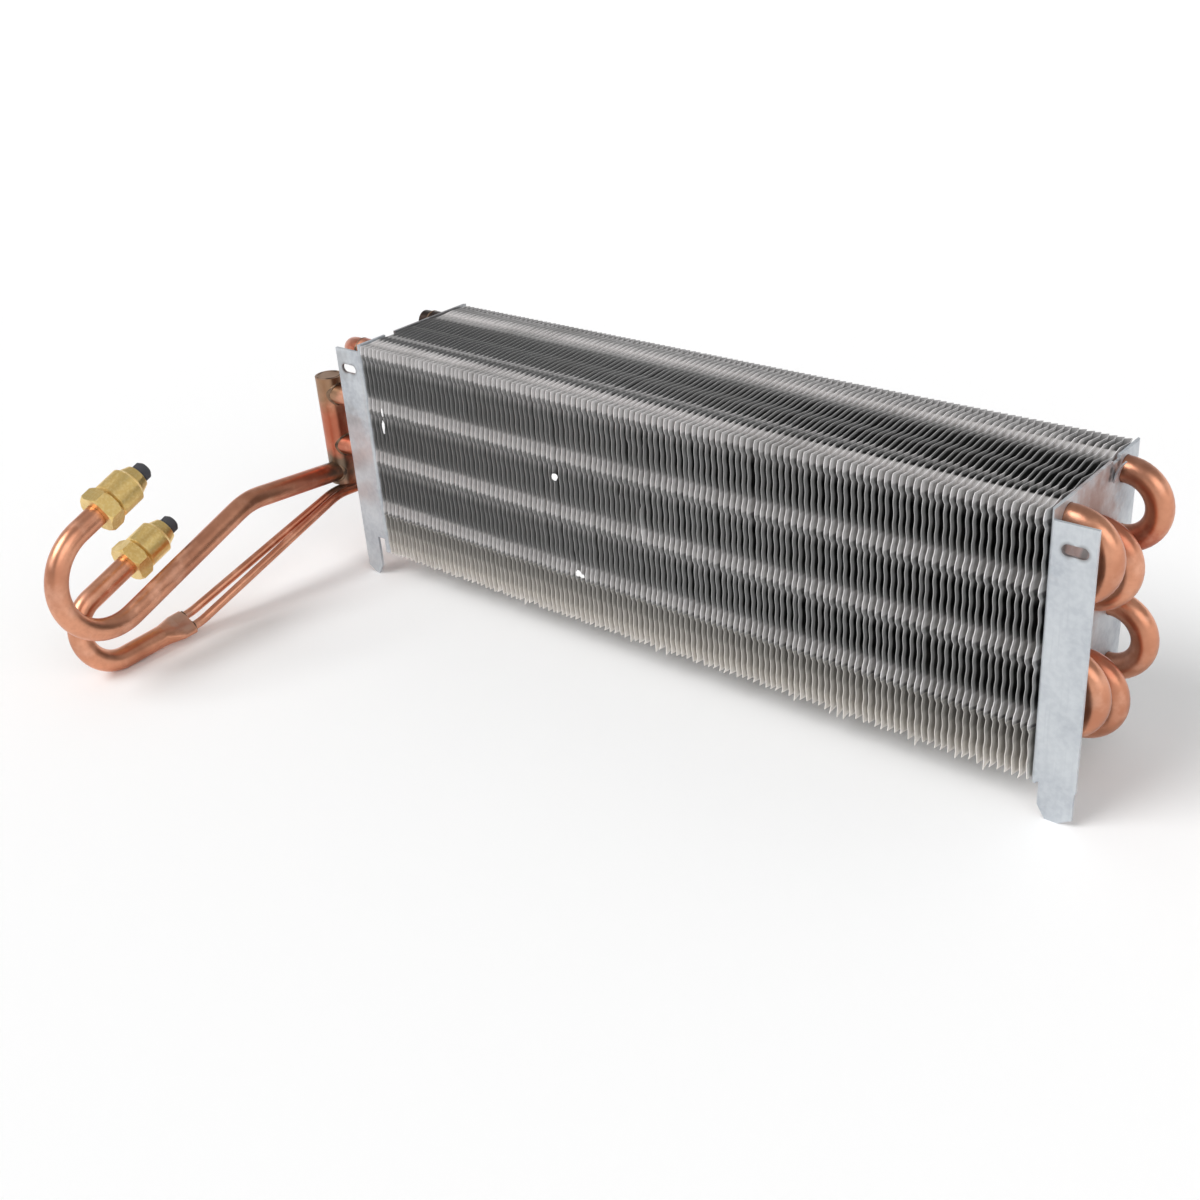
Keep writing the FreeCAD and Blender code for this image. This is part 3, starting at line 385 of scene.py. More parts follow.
# Marks on the sheet, painted shade and a painted reflection among them: centre and radius in millimetres,
# tint, share.
PLATE_MARKS = (
    ((-172, 0, -28), 9, "plate_stain_and_reflection", 0.28),
    ((-168, 0, -60), 7, "plate_stain_and_reflection", 0.16),
    ((-175, 0, 0), 9, "plate_smudge_and_shade", 0.30),
    ((-176, 0, -22), 9, "plate_smudge_and_shade", 0.22),
    ((-172, 0, -45), 7, "plate_smudge_and_shade", 0.15),
    # Warm, darker patches on the right web: a painted reflection of the copper bends.
    ((161.4, 20, -4), 16, "plate_stain_and_reflection", 0.45),
    ((161.4, 40, -16), 15, "plate_stain_and_reflection", 0.45),
    ((161.4, 31, -6), 25, "plate_stain_and_reflection", 0.50),
    ((161.4, 33, 2), 8, "plate_stain_and_reflection", 0.60),
    ((161.4, 33, -40), 12, "plate_stain_and_reflection", 0.40),
    # Dark strokes either side of the lug: painted shade of the slits beside it.
    ((161.3, 42.9, 9.5), 1.5, "plate_smudge_and_shade", 0.95),
    ((161.3, 42.4, 7), 1.5, "plate_smudge_and_shade", 0.95),
    ((161.3, 49.0, 10), 1.7, "plate_smudge_and_shade", 0.95),
    ((161.3, 49.4, 7), 1.7, "plate_smudge_and_shade", 0.95),
    # Dark patches on the right web behind the front slot: painted shade, seen through the slot as its dark
    # ends.
    ((161.3, 9, -4.5), 3.5, "plate_smudge_and_shade", 0.90),
    ((161.3, 27, -14.5), 4.5, "plate_smudge_and_shade", 0.90),
    # Darker patches along the left plate's top edge.
    ((-160.7, 30, 12), 16, "plate_smudge_and_shade", 0.75),
    ((-160.7, 52, 12), 18, "plate_smudge_and_shade", 0.85),
    # Dark rings in the front slots: painted shade on the slots' inner walls.
    ((-171.2, 0.6, 0), 3.1, "plate_smudge_and_shade", 0.90),
    ((-166.6, 0.6, 0), 3.1, "plate_smudge_and_shade", 0.90),
    ((166.6, 0.6, 0), 3.1, "plate_smudge_and_shade", 0.90),
    ((171.2, 0.6, 0), 3.1, "plate_smudge_and_shade", 0.90),
)


def with_marks(tree, place, colour, marks, colours, raggedness):
    """The colour with its marks laid over it; the raggedness is a function of a mark's radius."""
    for centre, radius, tint, share in marks:
        patch = placed_group(tree, "Ragged Patch", {
            "Vector": place, "Centre": Vector(centre) * MM, "Radius": radius * MM,
            "Raggedness": raggedness(radius),
        })
        colour = tinted(tree, patch, share, colour, getattr(colours, tint))
    return colour


def plate_material(colours):
    """Zinc-coated sheet: pale, fine spangle, scuffs and a few warm stains from the torch, with a painted
    reflection of the copper bends on the right web and painted shade in the slots, beside the lug and
    behind the right slot.
    """
    material, tree, shader, place = start_material("zinc_sheet", 0.7, 0.45)
    spangle = mottle(tree, place, 420.0, 0.35, 0.65, 2.0)
    cloud = mottle(tree, place, 45.0, 0.38, 0.68, 4.0)
    scuffs = mottle(tree, stretched(tree, place, 0.06), 900.0, 0.55, 0.75, 2.0)
    colour = blended(tree, cloud, colours.plate_colour, colours.plate_shade)
    colour = tinted(tree, spangle, 0.35, colour, colours.plate_light)
    colour = tinted(tree, scuffs, 0.30, colour, colours.plate_shade)
    colour = with_marks(tree, place, colour, PLATE_MARKS, colours,
                        lambda radius: min(0.5, 0.07 * (radius - 2)))
    tree.links.new(colour, shader.inputs["Base Color"])
    tree.links.new(ranged(tree, cloud, 0.36, 0.56), shader.inputs["Roughness"])
    set_bump(tree, shader, spangle, 0.25, 0.06 * MM)
    return material


# Marks of the torch on the copper, given in the same way, with one patch of painted shade on the upper
# inlet.
HEAT_MARKS = (
    ((-197.6, -14.0, -61.5), 24, "heat_red", 0.40),
    ((-198.4, 11.0, -42.0), 22, "heat_red", 0.60),
    ((-198.4, 5.0, -58.4), 12, "heat_grey", 0.88),
    ((-198.4, 11.0, -14.0), 15, "heat_olive", 0.80),
    ((-172.0, 22.0, 8.0), 18, "heat_red", 0.80),
    ((-198.4, -92.0, -96.0), 8, "braze_tint", 0.38),
    ((164.0, 11.0, 8.0), 9, "heat_dark", 0.40),
    ((164.0, 55.0, 8.0), 9, "heat_dark", 0.40),
    ((165.0, 33.0, -6.0), 13, "heat_red", 0.45),
    ((165.0, 11.0, -18.0), 10, "heat_red", 0.35),
    ((165.0, 33.0, -56.0), 13, "heat_red", 0.40),
    ((172.0, 55.0, -19.0), 10, "heat_red", 0.70),
    # Near-black patch on the upper inlet: painted shade, standing in for the shaded back flange of the
    # left plate.
    ((-171.0, 55.0, 7.0), 14, "painted_inlet_shade", 0.97),
)


def copper_material(colours):
    """Bent copper tube: satin, with tarnish clouds, draw marks, heat marks by the joints and a patch of
    painted shade on the upper inlet.
    """
    material, tree, shader, place = start_material("copper_tube", 1.0, 0.32)
    cloud = mottle(tree, place, 38.0, 0.36, 0.66, 4.0)
    grain = mottle(tree, place, 520.0, 0.40, 0.72)
    smear = mottle(tree, place, 110.0, 0.50, 0.70, 5.0)
    colour = blended(tree, cloud, colours.copper_colour, colours.copper_dull)
    colour = tinted(tree, smear, 0.35, colour, colours.copper_pale)
    colour = tinted(tree, grain, 0.25, colour, colours.copper_dull)
    colour = with_marks(tree, place, colour, HEAT_MARKS, colours, lambda radius: 0.35)
    tree.links.new(colour, shader.inputs["Base Color"])
    tree.links.new(ranged(tree, smear, 0.32, 0.48), shader.inputs["Roughness"])
    set_bump(tree, shader, grain, 0.18, 0.05 * MM)
    return material


def brass_material(colours):
    """Turned brass: fine tool marks, darker tarnish in clouds."""
    material, tree, shader, place = start_material("turned_brass", 1.0, 0.34)
    cloud = mottle(tree, place, 95.0, 0.40, 0.68, 4.0)
    grain = mottle(tree, place, 900.0, 0.40, 0.70, 2.0)
    colour = blended(tree, cloud, colours.brass_colour, colours.brass_dull)
    colour = tinted(tree, grain, 0.30, colour, colours.brass_pale)
    tree.links.new(colour, shader.inputs["Base Color"])
    tree.links.new(ranged(tree, cloud, 0.30, 0.46), shader.inputs["Roughness"])
    set_bump(tree, shader, grain, 0.25, 0.05 * MM)
    return material


def cap_material(colours):
    """Dark moulded rubber with a faint dusty bloom."""
    material, tree, shader, place = start_material("cap_rubber", 0.0, 0.6)
    bloom = mottle(tree, place, 260.0, 0.45, 0.75, 4.0)
    colour = blended(tree, bloom, colours.cap_colour, colours.cap_bloom)
    tree.links.new(colour, shader.inputs["Base Color"])
    tree.links.new(ranged(tree, bloom, 0.45, 0.7), shader.inputs["Roughness"])
    set_bump(tree, shader, bloom, 0.2, 0.08 * MM)
    return material


def braze_material(colours):
    """Brazing alloy: brown bronze with burnt flux."""
    material, tree, shader, place = start_material("brazing_alloy", 0.85, 0.45)
    flux = mottle(tree, place, 300.0, 0.45, 0.65, 4.0)
    colour = blended(tree, flux, colours.braze_colour, colours.braze_dark)
    tree.links.new(colour, shader.inputs["Base Color"])
    tree.links.new(ranged(tree, flux, 0.35, 0.65), shader.inputs["Roughness"])
    set_bump(tree, shader, flux, 0.4, 0.1 * MM)
    return material


def fleck_material(colours):
    """White matt flecks, a little grey in places."""
    material, tree, shader, place = start_material("white_fleck", 0.0, 0.6)
    grain = mottle(tree, place, 900.0, 0.3, 0.7)
    colour = tinted(tree, grain, 0.2, colours.fleck_colour, colours.fleck_shade)
    tree.links.new(colour, shader.inputs["Base Color"])
    return material


def floor_material(colour):
    """Plain pale floor."""
    material, _, shader, _ = start_material("stage_floor", 0.0, 0.9)
    shader.inputs["Base Color"].default_value = (*colour, 1.0)
    shader.inputs["Specular IOR Level"].default_value = 0.0
    return material


GROUPS = {"Mottle": mottle_group, "Ragged Patch": patch_group, "Pack Depth": depth_group}


def finish_of(name, maker, colours):
    """The named material, made the first time that a piece asks for it."""
    for group, group_maker in GROUPS.items():
        if group not in bpy.data.node_groups:
            group_maker()
    return bpy.data.materials.get(name) or maker(colours)


# Modelling


def select_only(piece):
    if bpy.context.object and bpy.context.object.mode != "OBJECT":
        bpy.ops.object.mode_set(mode="OBJECT")
    bpy.ops.object.select_all(action="DESELECT")
    piece.select_set(True)
    bpy.context.view_layer.objects.active = piece


def settle(piece):
    """Applies a piece's modifiers and its place, so that its object sits at the origin."""
    select_only(piece)
    for modifier in list(piece.modifiers):
        bpy.ops.object.modifier_apply(modifier=modifier.name)
    bpy.ops.object.transform_apply(location=True, rotation=True, scale=True)


def add_piece(piece, name, material, replaced=()):
    """Names a finished piece, gives it its finish, hangs it on the root body and hides the parts that it
    replaces.
    """
    piece.name = name
    piece.data.name = name
    piece.data.materials.clear()
    piece.data.materials.append(material)
    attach(piece, "root")
    if replaced:
        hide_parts(*replaced)


def join_pieces(pieces):
    select_only(pieces[0])
    for other in pieces[1:]:
        other.select_set(True)
    bpy.ops.object.join()
    return bpy.context.object


def smooth(piece, angle=40):
    select_only(piece)
    bpy.ops.object.shade_smooth_by_angle(angle=math.radians(angle))


def dress_nodes(names, material):
    for name in names:
        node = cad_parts[name]
        if not node.material_slots:
            node.data.materials.append(material)
        for slot in node.material_slots:
            slot.material = material


# Where a fin is folded along the airflow, from the front edge, in millimetres, and to which side.
FOLDS = (
    (0.0, -0.2), (1.6, 0.3), (3.7, 1.0), (12.5, -1.0), (18.3, 1.0), (27.2, -1.0), (33.0, 1.0),
    (41.8, -1.0), (47.7, 1.0), (56.5, -1.0), (62.3, 1.0), (64.4, 0.3), (66.0, -0.2),
)
FIN_STEPS_UP = 60
RIPPLES_PER_ROW = 3
# A kink fades out over the first share of a row pitch and comes back from the second one on.
KINK_FADE = 0.22
KINK_RETURN = 0.95


def fin_pitch(settings):
    return (FINS_HIGH.x - FINS_LOW.x - FIN_GAUGE) / (settings.fin_count - 1)


def unit_grid(steps_x, steps_y):
    """A flat grid of size 1 round the origin, to be shaped."""
    bpy.ops.mesh.primitive_grid_add(x_subdivisions=steps_x, y_subdivisions=steps_y, size=1,
                                    location=(0, 0, 0), rotation=(0, 0, 0))
    return bpy.context.object


def folded_fin(settings, x):
    """One fin: a grid folded to a zigzag along the airflow, its edges kinked at the tube rows."""
    folds = len(FOLDS) - 1
    depth = FOLDS[-1][0]
    height = FINS_HIGH.z - FINS_LOW.z
    fin = unit_grid(FIN_STEPS_UP, folds)
    for vertex in fin.data.vertices:
        place, side = FOLDS[round((vertex.co.y + 0.5) * folds)]
        z = (vertex.co.x + 0.5) * height
        from_rim = min(place, depth - place) * MM / settings.ripple_reach
        near_rim = math.exp(-from_rim * from_rim)
        ripple = math.sin(2 * math.pi * z * RIPPLES_PER_ROW / ROW_PITCH) * settings.ripple_height
        phase = ((z - BAND_RISE) / ROW_PITCH) % 1
        if phase < KINK_RETURN:
            kink = -max(0.0, 1 - phase / KINK_FADE)
        else:
            kink = -(phase - KINK_RETURN) / (1 - KINK_RETURN)
        vertex.co = (x + side * settings.fold_height + near_rim * (ripple + kink * settings.kink_height),
                     FINS_LOW.y + place * MM, FINS_LOW.z + z)
    return fin


# Bends of handled fins, in millimetres: their spreads, the reaches over which they fade, how far a
# fin may be pushed, and the strip at the back and the height below the top that a lip is turned over.
LEAN, CURL, SWAY, TOP_LEAN, FOOT = 0.09, 0.55, 0.16, 0.10, 0.28
CURL_REACH = (0.6, 4.0)
SWAY_DEPTH = 9
SWAY_LENGTH = 17
TOP_REACH = 4
PUSH_LIMIT = 0.85
LIP_STRIP = 1.6
LIP_DEPTH = 6
LIP_RAMP = 2.5
TORN_SHARE = 0.06
TEAR = (0.8, 2.2)
TEAR_REACH = 3
FOOT_EDGE = 0.3
FOOT_LIMIT = 0.9


def fin_bend(chance):
    """One fin's lean, curl and its reach, sway and its phase, lean of the top, foot and tear."""
    torn = chance.random() < TORN_SHARE
    return (chance.gauss(0, LEAN), chance.gauss(0, CURL), chance.uniform(*CURL_REACH),
            chance.gauss(0, SWAY), chance.uniform(0, FULL_TURN), chance.gauss(0, TOP_LEAN),
            chance.gauss(0, FOOT), chance.uniform(*TEAR) if torn else 0.0)


def bend_fins(piece, first, settings):
    """Small bends of handled fins: leaning plates, swaying edges, ragged feet and the lip at the back."""
    chance = random.Random(first + 7)
    pitch = fin_pitch(settings)
    lip_start = FOLDS[-1][0] - LIP_STRIP
    bends = {}
    for vertex in piece.data.vertices:
        fin = round((vertex.co.x - FINS_LOW.x - FIN_GAUGE / 2) / pitch)
        if fin not in bends:
            bends[fin] = fin_bend(chance)
        lean, curl, reach, sway, phase, top, foot, tear = bends[fin]
        back = vertex.co.y - FINS_LOW.y
        rise = vertex.co.z - FINS_LOW.z
        drop = FINS_HIGH.z - vertex.co.z
        near_front = math.exp(-(back / (SWAY_DEPTH * MM)) ** 2)
        shift = lean + sway * math.sin(phase + rise / (SWAY_LENGTH * MM)) * near_front
        shift += top * math.exp(-(drop / (TOP_REACH * MM)) ** 2)
        shift += curl * max(0.0, 1 - rise / (reach * MM)) ** 2 * settings.curl_share
        vertex.co.x += max(-PUSH_LIMIT, min(PUSH_LIMIT, shift)) * MM
        near_back = min(1.0, max(0.0, back / MM - lip_start) / LIP_STRIP)
        near_top = min(1.0, max(0.0, LIP_DEPTH - drop / MM) / LIP_RAMP)
        room = max(0.0, FINS_HIGH.x - FINS_LOW.x - FIN_GAUGE - fin * pitch)
        vertex.co.x += min(near_back * near_top * settings.lip_width, room)
        if rise < FOOT_EDGE * MM:
            corner = max(0.0, 1 - back / (TEAR_REACH * MM))
            vertex.co.z -= (max(-FOOT_LIMIT, min(FOOT_LIMIT, foot)) + tear * corner) * MM
    piece.data.update()


# Nicks in the front face, in millimetres: x, lowest and highest z, sideways push, push outward.
# Each fades out over the same depth behind the face.
NICK_DEPTH = 3.5
FIN_NICKS = (
    (-46.5, -13, 5, 0.5, 0.25),
    (-2.1, -0.5, 7, 0.9, 0.4),
    (-8.5, -10, -0.3, 0.9, 0.4),
    (-13.7, -25, -20, 1.0, 0.4),
    (-41.7, -62.5, -56.5, 1.0, 0.4),
    (-12.5, -73.5, -45.5, 0.35, 0.25),
    (-4.4, -40, -27.5, -0.9, 0.0),
)


def nick_fins(piece, settings):
    """The few fins that stand out in the front face, pushed over by a knock."""
    pitch = fin_pitch(settings)
    for x, low, high, push, out in FIN_NICKS:
        target = FINS_LOW.x + FIN_GAUGE / 2 + round((x * MM - FINS_LOW.x) / pitch) * pitch
        for vertex in piece.data.vertices:
            if abs(vertex.co.x - target) > 0.5 * pitch or vertex.co.y > NICK_DEPTH * MM:
                continue
            if not low * MM < vertex.co.z < high * MM:
                continue
            share = 1 - vertex.co.y / (NICK_DEPTH * MM)
            vertex.co.x += push * MM * share
            vertex.co.y -= out * MM * share
    piece.data.update()


def fin_half(settings, first, count, name, material):
    """Half of the fin pack, as one piece."""
    pitch = fin_pitch(settings)
    fin = folded_fin(settings, FINS_LOW.x + FIN_GAUGE / 2 + first * pitch)
    sheet = fin.modifiers.new("gauge", "SOLIDIFY")
    sheet.thickness = FIN_GAUGE
    sheet.offset = 0
    stack = fin.modifiers.new("stack", "ARRAY")
    stack.count = count
    stack.use_relative_offset = False
    stack.use_constant_offset = True
    stack.constant_offset_displace = (pitch, 0, 0)
    settle(fin)
    bend_fins(fin, first, settings)
    nick_fins(fin, settings)
    smooth(fin, 50)
    add_piece(fin, name, material, ["fins"])


COLLAR_RADIUS = TUBE_RADIUS + 0.3
COLLAR_WALL = 0.2


def fin_collars(material):
    """The drawn collars round the tubes: thin sleeves between the fins."""
    sleeves = []
    for column in range(COLUMNS):
        for row in range(ROWS):
            bpy.ops.mesh.primitive_cylinder_add(
                vertices=16, radius=COLLAR_RADIUS * MM, depth=FINS_HIGH.x - FINS_LOW.x,
                end_fill_type="NOTHING",
                location=((FINS_LOW.x + FINS_HIGH.x) / 2, COLUMN_Y[column], tube_z(column, row)),
                rotation=(0, math.pi / 2, 0))
            bpy.ops.object.transform_apply(location=True, rotation=True, scale=True)
            sleeves.append(bpy.context.object)
    piece = join_pieces(sleeves)
    wall = piece.modifiers.new("wall", "SOLIDIFY")
    wall.thickness = COLLAR_WALL * MM
    wall.offset = -1
    settle(piece)
    smooth(piece, 60)
    add_piece(piece, "fin_collars", material)


# Shape of a fillet: how far its middle stands off the tube as a share of its thickness, its swells
# as waves round the ring with their size, and its sag.
FILLET_SEAT = 0.55
FILLET_SWELLS = ((2, 0.22), (5, 0.16))
FILLET_SAG = (3, 0.25)


def braze_ring(centre, axis, inner, thick, seed, host=None):
    """A fillet of alloy round a joint: a ring, made uneven and sagged.

    The host is the radius of the upright pipe that the joint sits on, if its ring has to follow
    that pipe's side.
    """
    toward = Vector(axis).normalized()
    middle_radius = (inner + thick * FILLET_SEAT) * MM
    bpy.ops.mesh.primitive_torus_add(
        location=(0, 0, 0), rotation=(0, 0, 0), major_segments=32, minor_segments=8,
        major_radius=middle_radius, minor_radius=thick * MM)
    ring = bpy.context.object
    chance = random.Random(seed)
    phases = [chance.uniform(0, FULL_TURN) for _ in range(3)]
    turn = Vector((0, 0, 1)).rotation_difference(toward).to_matrix()
    side = Vector((0, 0, 1)).cross(toward).normalized() if host else None
    waves, sag = FILLET_SAG
    for vertex in ring.data.vertices:
        around = math.atan2(vertex.co.y, vertex.co.x)
        swell = 1 + sum(size * math.sin(count * around + phase)
                        for (count, size), phase in zip(FILLET_SWELLS, phases))
        middle = Vector((vertex.co.x, vertex.co.y, 0)).normalized() * middle_radius
        place = middle + (vertex.co - middle) * swell
        place.z += sag * thick * MM * math.sin(waves * around + phases[-1])
        vertex.co = turn @ place
        if host:
            across = min(abs(vertex.co.dot(side)) / MM, host)
            vertex.co -= toward * (host - math.sqrt(host * host - across * across)) * MM
        vertex.co += Vector(centre) * MM
    ring.data.update()
    return ring


# How far the pool reaches into the tube, as a share of its bulge.
POOL_ROOT = 1.5


def alloy_pool(centre, axis, long_axis, width, height, bulge, seed):
    """Alloy that fills a flattened tube round the thin tubes in it: a lumpy lens."""
    bpy.ops.mesh.primitive_uv_sphere_add(segments=32, ring_count=16, radius=1,
                                         location=(0, 0, 0), rotation=(0, 0, 0))
    pool = bpy.context.object
    out = Vector(axis).normalized()
    along = Vector(long_axis)
    along = (along - out * along.dot(out)).normalized()
    up = out.cross(along)
    chance = random.Random(seed)
    phases = [chance.uniform(0, FULL_TURN) for _ in range(2)]
    for vertex in pool.data.vertices:
        x, y, z = vertex.co
        lump = 1 + 0.18 * math.sin(4 * x + phases[0]) + 0.15 * math.sin(5 * y + phases[1])
        reach = out * z * bulge * (lump if z > 0 else POOL_ROOT)
        place = along * x * width / 2 + up * y * height / 2 + reach
        vertex.co = (place + Vector(centre)) * MM
    pool.data.update()
    return pool


FLECK_SIZES = (0.75, 1.15)


def fleck(centre, radii, seed):
    """A fleck caught in the front edges of the fins."""
    bpy.ops.mesh.primitive_ico_sphere_add(subdivisions=2, radius=1, location=(0, 0, 0), rotation=(0, 0, 0))
    piece = bpy.context.object
    chance = random.Random(seed)
    for vertex in piece.data.vertices:
        size = chance.uniform(*FLECK_SIZES)
        vertex.co = [(c + v * r * size) * MM for c, v, r in zip(centre, vertex.co, radii)]
    piece.data.update()
    return piece


# The lug by the right plate's notch, in millimetres: the middle of its root, its width and height,
# and how far its top narrows, leans out and is set forward.
LUG_ROOT = (161.75, 46.4, 4.4)
LUG_WIDTH = 3.4
LUG_HEIGHT = 7.6
LUG_TAPER = 0.6
LUG_LEAN = 2.6
LUG_SET = 0.8
LUG_HOLLOW = 0.2
LUG_GAUGE = 0.6


def notch_lug():
    """The bent lug by the right plate's notch: a hollowed strip of sheet that leans out at its top."""
    root_x, root_y, root_z = LUG_ROOT
    lug = unit_grid(6, 10)
    for vertex in lug.data.vertices:
        across, up = vertex.co.x, vertex.co.y + 0.5
        lean = LUG_LEAN * up * up + LUG_HOLLOW * math.cos(math.pi * across)
        side = across * (LUG_WIDTH - LUG_TAPER * up) - LUG_SET * up
        vertex.co = Vector((root_x + lean, root_y + side, root_z + LUG_HEIGHT * up)) * MM
    lug.data.update()
    sheet = lug.modifiers.new("sheet", "SOLIDIFY")
    sheet.thickness = LUG_GAUGE * MM
    sheet.offset = 0
    settle(lug)
    smooth(lug)
    return lug


# Settings


def colour_property(name, description, default):
    return FloatVectorProperty(name=name, description=description, subtype="COLOR", size=3,
                               min=0.0, max=1.0, default=default)


def length_property(name, description, default):
    return FloatProperty(name=name, description=description, default=default, unit="LENGTH", precision=5)


def strength_property(name, description, default):
    return FloatProperty(name=name, description=description, default=default, min=0.0)


class EvaporatorFinSettings(bpy.types.PropertyGroup):
    """Shape and colours of the fin pack, with its painted light and shade."""

    fin_count: IntProperty(name="Fins", description="Plates in the pack", default=120, min=2)
    fold_height: length_property("Fold height", "Half height of the zigzag along the airflow", 0.55 * MM)
    ripple_height: length_property("Ripple height", "Half height of the rippled edges", 0.2 * MM)
    kink_height: length_property("Kink", "Sideways kink of the edges at a tube row", 0.8 * MM)
    ripple_reach: length_property("Ripple reach", "How far the ripple runs in from the edge", 4.0 * MM)
    lip_width: length_property("Back lip", "How far the upper back corner is turned over", 2.6 * MM)
    curl_share: strength_property("Curl", "How much the bottom edges are bent", 0.6)
    # Edge: fin edges in the painted shade between the tube rows.
    edge_colour: colour_property("Edge", "Fins between the tube rows", (0.41, 0.41, 0.41))
    # Far edge: fin edges darkened as painted shade at the header end.
    far_shade_colour: colour_property("Far edge", "Dull fins at the header end", (0.24, 0.24, 0.24))
    # Bright edge: painted highlight on the fin edges at the tube rows.
    edge_highlight_colour: colour_property("Bright edge", "Fins at the tube rows", (0.96, 0.94, 0.94))
    # Band: painted light deep between the fins at the tube rows.
    band_light_colour: colour_property("Band", "Deep between the fins at the tube rows", (0.72, 0.70, 0.69))
    # Gap: painted shade deep between the fins.
    gap_shade_colour: colour_property("Gap", "Deep between the fins", (0.004, 0.004, 0.004))
    stain_colour: colour_property("Stain", "Oil on the fins", (0.16, 0.15, 0.14))
    dust_colour: colour_property("Dust", "Tint of the dusty foot", (0.93, 0.89, 0.80))
    fleck_colour: colour_property("Fleck", "White flecks on the front face", (0.95, 0.95, 0.95))
    fleck_shade: colour_property("Fleck shade", "Greyer grains of the flecks", (0.7, 0.7, 0.7))


class EvaporatorFinishSettings(bpy.types.PropertyGroup):
    """Colours of the sheet, the tubes and the fittings, with painted shade and a painted reflection among
    them.
    """

    plate_colour: colour_property("Sheet", "Zinc-coated sheet", (0.57, 0.60, 0.63))
    plate_shade: colour_property("Sheet shade", "Darker clouds on the sheet", (0.47, 0.50, 0.54))
    plate_light: colour_property("Sheet light", "Light flecks of the zinc", (0.68, 0.71, 0.73))
    # Sheet scorch: smudges on the left flange, darker patches on its top edge, and painted shade in the
    # slots, beside the lug and behind the right slot.
    plate_smudge_and_shade: colour_property("Sheet scorch", "Dark marks at slots and inlet", (0.16, 0.15, 0.15))
    # Sheet stain: warm stains on the left flange, and the painted copper reflection on the right web.
    plate_stain_and_reflection: colour_property("Sheet stain", "Warm stains on the sheet", (0.40, 0.25, 0.21))
    copper_colour: colour_property("Copper", "Clean copper", (0.72, 0.34, 0.21))
    copper_dull: colour_property("Copper dull", "Tarnished copper", (0.52, 0.22, 0.13))
    copper_pale: colour_property("Copper pale", "Rubbed copper", (0.92, 0.56, 0.41))
    heat_red: colour_property("Heat red", "Copper reddened by the torch", (0.42, 0.09, 0.05))
    heat_olive: colour_property("Heat olive", "Brown scale on the header", (0.30, 0.20, 0.12))
    heat_dark: colour_property("Heat dark", "Scorched copper", (0.22, 0.10, 0.07))
    # Heat black: painted shade on the upper inlet.
    painted_inlet_shade: colour_property("Heat black", "Soot on the upper inlet", (0.035, 0.03, 0.027))
    heat_grey: colour_property("Heat grey", "Scale and flux by the header", (0.17, 0.15, 0.11))
    braze_tint: colour_property("Alloy smear", "Alloy run over the copper", (0.52, 0.45, 0.40))
    brass_colour: colour_property("Brass", "Turned brass", (0.84, 0.60, 0.22))
    brass_dull: colour_property("Brass dull", "Tarnished brass", (0.68, 0.47, 0.17))
    brass_pale: colour_property("Brass pale", "Tool marks in the brass", (0.95, 0.80, 0.45))
    braze_colour: colour_property("Alloy", "Brazing alloy", (0.26, 0.17, 0.11))
    braze_dark: colour_property("Flux", "Burnt flux", (0.11, 0.08, 0.06))
    cap_colour: colour_property("Cap", "Dust cap", (0.035, 0.04, 0.05))
    cap_bloom: colour_property("Cap bloom", "Dust on the cap", (0.10, 0.10, 0.11))


class EvaporatorStageSettings(bpy.types.PropertyGroup):
    """Floor and studio light."""

    floor_colour: colour_property("Floor", "Pale floor", (0.98, 0.98, 0.98))
    sky_colour: colour_property("Room", "Soft light of the room", (1.0, 1.0, 1.0))
    sky_strength: strength_property("Room light", "Strength of the room's light", 0.45)
    key_strength: strength_property("Key light", "Strength of the main light", 1.7)
    fill_strength: strength_property("Fill light", "Strength of the second light", 0.8)
    lens: FloatProperty(name="Lens", description="Focal length of the camera", default=44.35,
                        min=1.0, unit="CAMERA")


# Operators


class EVAPORATOR_OT_fins(bpy.types.Operator):
    """Model the folded fins, their collars and the flecks in them"""

    bl_idname = "evaporator.fins"
    bl_label = "Fin pack"

    def execute(self, context):
        settings = context.scene.evaporator_fins
        material = finish_of("fin_aluminium", fin_material, settings)
        half = settings.fin_count // 2
        fin_half(settings, 0, half, "fins_header_half", material)
        fin_half(settings, half, settings.fin_count - half, "fins_bend_half", material)
        fin_collars(material)
        dress_nodes(["fins"], material)
        flecks = [fleck(*each, seed) for seed, each in enumerate(FLECKS)]
        smooth(join_pieces(flecks), 50)
        white = finish_of("white_fleck", fleck_material, settings)
        add_piece(context.object, "flecks", white)
        return {"FINISHED"}


class EVAPORATOR_OT_end_plates(bpy.types.Operator):
    """Finish the bent end plates and model the lug by the notch"""

    bl_idname = "evaporator.end_plates"
    bl_label = "End plates"

    def execute(self, context):
        material = finish_of("zinc_sheet", plate_material, context.scene.evaporator_finish)
        dress_nodes(["left_end_plate", "right_end_plate"], material)
        add_piece(notch_lug(), "notch_lug", material)
        return {"FINISHED"}


COPPER_NODES = (
    "hairpin", "return_bend", "outlet_stub", "inlet_reducer", "suction_header", "header_plug",
    "suction_line", "liquid_line", "distributor_tube",
)


class EVAPORATOR_OT_copper(bpy.types.Operator):
    """Finish the hairpins, bends, header and lines"""

    bl_idname = "evaporator.copper"
    bl_label = "Copper tubes"

    def execute(self, context):
        material = finish_of("copper_tube", copper_material, context.scene.evaporator_finish)
        dress_nodes([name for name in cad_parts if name.startswith(COPPER_NODES)], material)
        return {"FINISHED"}


